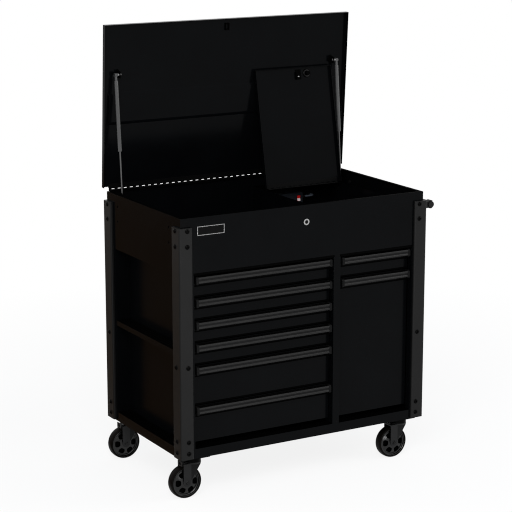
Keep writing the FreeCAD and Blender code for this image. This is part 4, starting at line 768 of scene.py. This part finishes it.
def button_head(radius=9.0, height=4.0, socket=2.9):
    """A button head with a hexagon socket, its seat at the origin and its crown along +Z."""
    profile = [(0.0, 1.2), (socket, 1.2), (socket, height - 0.2), (socket + 0.5, height),
               (radius * 0.55, height * 0.93), (radius * 0.78, height * 0.72),
               (radius * 0.93, height * 0.42), (radius, height * 0.12), (radius, 0.0)]
    form = bmesh.new()
    steps = 24
    rings = []
    for index, (r, z) in enumerate(profile):
        if r < 1e-6:
            rings.append([form.verts.new((0, 0, z / 1000))] * steps)
            continue
        ring = []
        for k in range(steps):
            turn = 2 * math.pi * k / steps
            reach = r
            if index in (1, 2):
                side = math.pi / 3
                reach = r * math.cos(side / 2) / math.cos((turn % side) - side / 2)
            across, along = reach * math.cos(turn) / 1000, reach * math.sin(turn) / 1000
            ring.append(form.verts.new((across, along, z / 1000)))
        rings.append(ring)
    for first, second in zip(rings, rings[1:]):
        ring_faces(form, first, second)
    form.faces.new(rings[-1][::-1])
    bmesh.ops.recalc_face_normals(form, faces=form.faces)
    mesh = mesh_of(form, "button head")
    smooth_by_angle(mesh, 40)
    return mesh


POST_LEVELS = (1027.1, 969.6, 516.6, 231.3, 187.7)
POST_OUT, BOLT_IN = 11.0, 33.4


def make_post_bolts():
    """A button head on both outer faces of each post, at five levels."""
    spots, turns = [], []
    for side in (-1, 1):
        for rear in (0, 1):
            for level in POST_LEVELS:
                front_y = -POST_OUT if not rear else DEPTH + POST_OUT
                spots.append((side * (HALF_WIDTH + POST_OUT - BOLT_IN), front_y, level))
                turns.append((90 if not rear else -90, 0, 0))
                y = BOLT_IN - POST_OUT if not rear else DEPTH - BOLT_IN + POST_OUT
                spots.append((side * (HALF_WIDTH + POST_OUT), y, level))
                turns.append((0, 90 * side, 0))
    bolts = repeated("post_bolt_heads", button_head(), spots, turns, "screw")
    stand(bolts, "cabinet", "post_bolts")


# ---------------------------------------------------------------- lids

LID_AXIS, LID_LEAN = (614.0, 1075.7), 3.37
INNER_AXIS, INNER_LEAN = (500.5, 1034.0), -11.1
LID_PLACE = Matrix.Translation(spot(0, *LID_AXIS)) @ Matrix.Rotation(math.radians(LID_LEAN), 4, "X")
INNER_PLACE = Matrix.Translation(spot(0, *INNER_AXIS)) @ Matrix.Rotation(math.radians(INNER_LEAN), 4, "X")


def standing(mesh, place):
    """A mesh drawn about the cart's origin in a lid's own frame, stood on that lid."""
    mesh.transform(place @ Matrix.Translation(-spot(0, 0, 0)))
    return mesh


def on_lid(mesh):
    """Stood on the open lid."""
    return standing(mesh, LID_PLACE)


def on_inner(mesh):
    """Stood on the open inner lid."""
    return standing(mesh, INNER_PLACE)


BALLS = ((-499.0, 1), (492.0, -1))
LID_FACE, BALL_UP, BALL_IN, PLATE_IN = 8.95, 450.8, -11.25, 16.5
LOOP = (-10.0, 594.7)
INNER_FACE, CATCH, RING = 2.5, (306.0, 449.0), (359.0, 452.0)


def make_lid_fittings():
    """Diamond plates with their screws and ball studs, and the keeper's loop."""
    black, bright = [], []
    for x, way in BALLS:
        middle = x + way * PLATE_IN
        diamond = round_corners([(middle - 16, BALL_UP), (middle, BALL_UP - 21), (middle + 16, BALL_UP),
                                 (middle, BALL_UP + 21)], 2.5)
        black.append(drawn(diamond, LID_FACE - 2.5, LID_FACE, "Y"))
        ear = (middle - 1.5, middle + 1.5)
        black.append(box_mesh(ear, (BALL_IN - 7, LID_FACE - 1), (BALL_UP - 13, BALL_UP + 13)))
        for one, other, radius, sides in ((middle + way * 1.5, middle + way * 4.4, 6.2, 6),
                                          (x - way * 5.9, middle - way * 1.5, 3.8, 20),
                                          (x + way * 7.2, x + way * 10.5, 6.2, 24)):
            near, far = sorted((one, other))
            rod = [(0, near), (radius, near), (radius, far), (0, far)]
            bright.append(turned(rod, (0, BALL_IN, BALL_UP), "X", sides, False))
        head = [(0, LID_FACE - 3.9), (2.0, LID_FACE - 3.8), (3.2, LID_FACE - 3.0), (3.4, LID_FACE - 2.4),
                (0, LID_FACE - 2.4)]
        for up in (-13.5, 13.5):
            black.append(turned(head, (middle, 0, BALL_UP + up), "Y", 16, False))
    stand(eased(link("strut_brackets", on_lid(joined_mesh(black)), "flat"), 0.0004), "lid", "lid_fittings")
    studs = link("strut_studs", on_lid(joined_mesh(bright)), "bright")
    stand(eased(studs, 0.0004, 2, 50), "lid", "lid_fittings")
    x, z = LOOP
    ring = box_mesh((x - 8.5, x + 8.5), (LID_FACE - 3.4, LID_FACE - 0.4), (z, z + 28))
    hole = box_mesh((x - 4.2, x + 4.2), (LID_FACE - 6, LID_FACE + 3), (z + 5.5, z + 22.5))
    loop = carved(link("keeper_loop", ring, "flat"), [hole])
    side_walls = [box_mesh((x - 8.5, x - 6.8), (LID_FACE - 7, LID_FACE - 1), (z, z + 28)),
                  box_mesh((x + 6.8, x + 8.5), (LID_FACE - 7, LID_FACE - 1), (z, z + 28))]
    on_lid(loop.data)
    stand(eased(loop, 0.0004), "lid", "lid_fittings")
    stand(eased(link("keeper_sides", on_lid(joined_mesh(side_walls)), "flat"), 0.0004), "lid", "lid_fittings")


def make_inner_latch():
    """The inner lid's catch hook and the ring of its lock."""
    x, up = CATCH
    hook = [box_mesh((x, x + 26), (INNER_FACE - 1.5, INNER_FACE), (up - 20, up + 20)),
            box_mesh((x, x + 1.6), (INNER_FACE - 9, INNER_FACE), (up - 20, up + 10)),
            box_mesh((x, x + 14), (INNER_FACE - 9, INNER_FACE - 7.5), (up - 20, up - 10))]
    screw = turned([(0, -4.2), (3.0, -4.0), (4.4, -2.8), (4.6, -1.0), (0, -1.0)],
                   (x + 14, INNER_FACE, up - 10), "Y", 20, False)
    centre = (RING[0], INNER_FACE, RING[1])
    ring = turned([(9.2, -3.0), (10.4, -4.0), (14.0, -4.0), (15.4, -2.8), (15.6, 0.0), (9.2, 0.0)],
                  centre, "Y", 48)
    plug = turned([(0, -14.0), (8.6, -14.0), (9.1, -13.4), (9.1, 0.0), (0, 0.0)], centre, "Y", 36, False)
    rim = turned([(15.6, 0.0), (15.6, -1.6), (17.4, -1.6), (17.9, 0.0)], centre, "Y", 48)
    for name, mesh, material, radius, angle in (
            ("catch_hook", joined_mesh(hook), "flat", 0.0004, 30.0),
            ("catch_screw", joined_mesh([screw]), "bright", 0.0003, 50),
            ("inner_ring", ring, "lock", 0.0003, 40),
            ("inner_plug", joined_mesh([plug, rim]), "flat", 0.0003, 40)):
        stand(eased(link(name, on_inner(mesh), material), radius, 2, angle), "inner_lid", "inner_lid_latch")


# ---------------------------------------------------------------- front lock, badge, hinge strip

BORDER = 2.6
LOCK_Z = 1008.0
LOCK_FACE = [(12.0, 0.0), (12.0, -1.2), (11.0, -2.6), (9.6, -3.0), (8.4, -2.6), (7.9, -0.4), (7.9, 0.0)]
HINGE_HALF, PITCH, KNUCKLE, KNUCKLE_GAPS = 518.5, 26.3, 11.3, 39
STRIP_HALF, EDGE_Y, EDGE_Z, EDGE_TOP = 518, (DEPTH, 612.2), (1060, 1074.4), 1075.2
BACKING_Y, BACKING_UP, SLOT_HALF, SLOT_Y, SLOT_UP = (3.0, 3.5), (-2.8, 9.0), 6.0, (1.0, 5.0), (0.2, 4.6)


def make_badge():
    """A black plate with a bright raised border."""
    left, low, wide, tall = -HALF_WIDTH + 68.0, 1004.6, 112.0, 34.0
    plate = box_mesh((left + 1, left + wide - 1), (-1.4, 0), (low + 1, low + tall - 1))
    stand(eased(link("badge_plate_black", plate, "badge"), 0.0004), "cabinet", "badge_plate")
    outer = box_mesh((left, left + wide), (-2.0, 0), (low, low + tall))
    inner = box_mesh((left + BORDER, left + wide - BORDER), (-5, 3), (low + BORDER, low + tall - BORDER))
    border = carved(link("badge_border", outer, "bright"), [inner])
    stand(eased(border, 0.0003), "cabinet", "badge_plate")


def make_lock():
    """The lock's nickel face with a dark gap round its plug."""
    face = turned(LOCK_FACE, (0.0, 0, LOCK_Z), "Y", 48)
    stand(eased(link("lock_face", face, "lock"), 0.0002, 2, 40), "cabinet", "lock_housing")
    for mesh, _ in islands("lock_housing"):
        stand(eased(link("lock_inside", mesh, "zinc"), 0.0003), "cabinet", "lock_housing")


def make_hinge_strip():
    """The rear wall's edge in front of the hinge, and a slotted strip that trims the hinge's windows."""
    across = (-STRIP_HALF, STRIP_HALF)
    strip = box_mesh(across, EDGE_Y, EDGE_Z)
    stand(eased(link("rear_edge", strip, "panel"), 0.0002), "cabinet", "fixed_hinges")
    edge = box_mesh(across, EDGE_Y, (EDGE_Z[1], EDGE_TOP))
    stand(link("rear_edge_top", edge, "cap"), "cabinet", "fixed_hinges")
    backing = link("leaf_backing", on_lid(box_mesh(across, BACKING_Y, BACKING_UP)), "flat")
    slots = []
    for number in range(KNUCKLE_GAPS):
        middle = -HINGE_HALF + KNUCKLE + (PITCH - KNUCKLE) / 2 + PITCH * number
        slots.append(on_lid(box_mesh((middle - SLOT_HALF, middle + SLOT_HALF), SLOT_Y, SLOT_UP)))
    stand(carved(backing, slots), "lid", "lid_hinge_leaf")


# ---------------------------------------------------------------- power

LEAD_ROUTE = [(330.0, 579.5, 974.0), (364.0, 579.5, 974.0), (390.0, 579.5, 974.0), (390.0, 605.5, 974.0),
              (390.0, 611.0, 974.0)]
HOUSING_LEAST, LEAD_LEAST = 150, (50, 25)


def make_power():
    """The bush and grommet of the lead, the strip, and the lead itself as a cord.

    The CAD's own lead is the solid that is too short for the strip and too large for a fitting.
    """
    for mesh, size in sorted(islands("power_strip"), key=lambda solid: solid[1][0] > HOUSING_LEAST):
        if size[0] > HOUSING_LEAST:
            stand(eased(link("strip_housing", mesh, "strip"), 0.0009), "cabinet", "power_strip")
        elif size[0] <= LEAD_LEAST[0] or size[1] <= LEAD_LEAST[1]:
            stand(eased(link("lead_fitting", mesh, "plastic"), 0.0003), "cabinet", "power_strip")
    curve = bpy.data.curves.new("lead", "CURVE")
    curve.dimensions = "3D"
    curve.bevel_depth = 0.004
    curve.bevel_resolution = 5
    line = curve.splines.new("NURBS")
    line.points.add(len(LEAD_ROUTE) - 1)
    for point, place in zip(line.points, LEAD_ROUTE):
        point.co = (*spot(*place), 1.0)
    line.order_u = 3
    line.use_endpoint_u = True
    line.resolution_u = 12
    curve.materials.append(paint["cord"])
    lead = bpy.data.objects.new("lead", curve)
    bpy.context.scene.collection.objects.link(lead)
    stand(lead, "cabinet", "power_strip")


ROCKER_SPLIT = 971.0 / 1000 - 0.0005


def make_rocker():
    """The rocker: its upper half red, its lower half pale."""
    item = link("rocker", merged_copy("power_switch"), "red")
    eased(item, 0.0004)
    item.data.materials.append(paint["white"])
    for face in item.data.polygons:
        face.material_index = 1 if face.center.z < ROCKER_SPLIT else 0
    stand(item, BODY_OF["power_switch"], "power_switch")


# ---------------------------------------------------------------- bay

HOLES_LONG, HOLES_WIDE, HOLE_RADIUS = 26, 3, 3.6
HOLE_FIRST, HOLE_PITCH, ROW_PITCH = 80, 18, 14


def make_shelf():
    """The bay's shelf with its rows of round holes."""
    item = link("shelf_pierced", merged_copy("bay_shelf"), "inside")
    holes = []
    for column in range(HOLES_LONG):
        for row in range(HOLES_WIDE):
            across = -HALF_WIDTH + ROW_PITCH + row * ROW_PITCH
            along = HOLE_FIRST + column * HOLE_PITCH + (HOLE_PITCH // 2 if row % 2 else 0)
            holes.append(drawn(arc(across, along, HOLE_RADIUS, 0, 330, 11), 560, 580, "Z"))
    carved(item, holes)
    stand(add_top_shade(eased(item, 0.0003)), BODY_OF["bay_shelf"], "bay_shelf")


# ---------------------------------------------------------------- the object

make_camera()
make_world()
make_floor(floor_material())
make_lamp("key", (-2.6, -3.4, 3.6), (0, 0, 0.9), (2.4, 2.4), 150)
make_lamp("right fill", (3.8, -2.2, 2.6), (0, 0, 0.8), (2.0, 2.4), 54)
make_lamp("low front", (0.0, -3.5, 0.26), (-0.1, -0.2, 0.10), (1.3, 0.22), 17)
make_side_card()

FINISHES = {
    "corner_posts": ("post", 0.0012), "push_handle": ("post", 0.001), "lid_panel": ("lid", 0.0006),
    "lid_stiffener": ("lid", 0.0006), "inner_lid_panel": ("lid", 0.0006),
    "fixed_hinges": ("hinge", 0.0003), "lid_hinge_leaf": ("hinge", 0.0003),
    "inner_hinge_leaf": ("hinge", 0.0003), "strut_pivots": ("bracket", 0.0004),
    "lock_cylinder": ("lock", 0.0003), "latch_bar": ("zinc", 0.0003),
    "drawer_slides": ("screw", 0.0002), "caster_plates": ("screw", 0.0005),
    "bay_liner": ("inside", 0.0004), "left_side_panel": ("side", 0.0006),
}


def finish_of(node):
    """The node's paint and the radius of its edges in metres."""
    if node in FINISHES:
        return FINISHES[node]
    if node.startswith("strut_tube"):
        return "tube", 0.0005
    if node.startswith("strut_rod"):
        return "rod", 0.0003
    if node.startswith("brake_"):
        return "fork", 0.0006
    return "panel", 0.0006


made_here = {"post_bolts", "lid_fittings", "inner_lid_latch", "badge_plate", "lock_housing", "power_strip",
             "power_switch", "bay_shelf"}
make_post_bolts()
make_lid_fittings()
make_inner_latch()
make_badge()
make_lock()
make_hinge_strip()
make_power()
make_rocker()
make_shelf()
make_gap_shades()
for name in sorted(frame["nodes"]):
    if name.startswith("pull_"):
        x, _, z = cart_box(name)
        make_pull(name, BODY_OF[name], x[0], x[1], z[1])
    elif name.startswith("wheel_"):
        make_wheel(name[6:])
    elif name.startswith("fork_"):
        make_fork(name[5:])
    elif name not in made_here:
        dressed(name, *finish_of(name))

scene = bpy.context.scene
scene.cycles.filter_width = 1.1    # sharper edges than the default of 1.5
scene.view_settings.view_transform = "Standard"
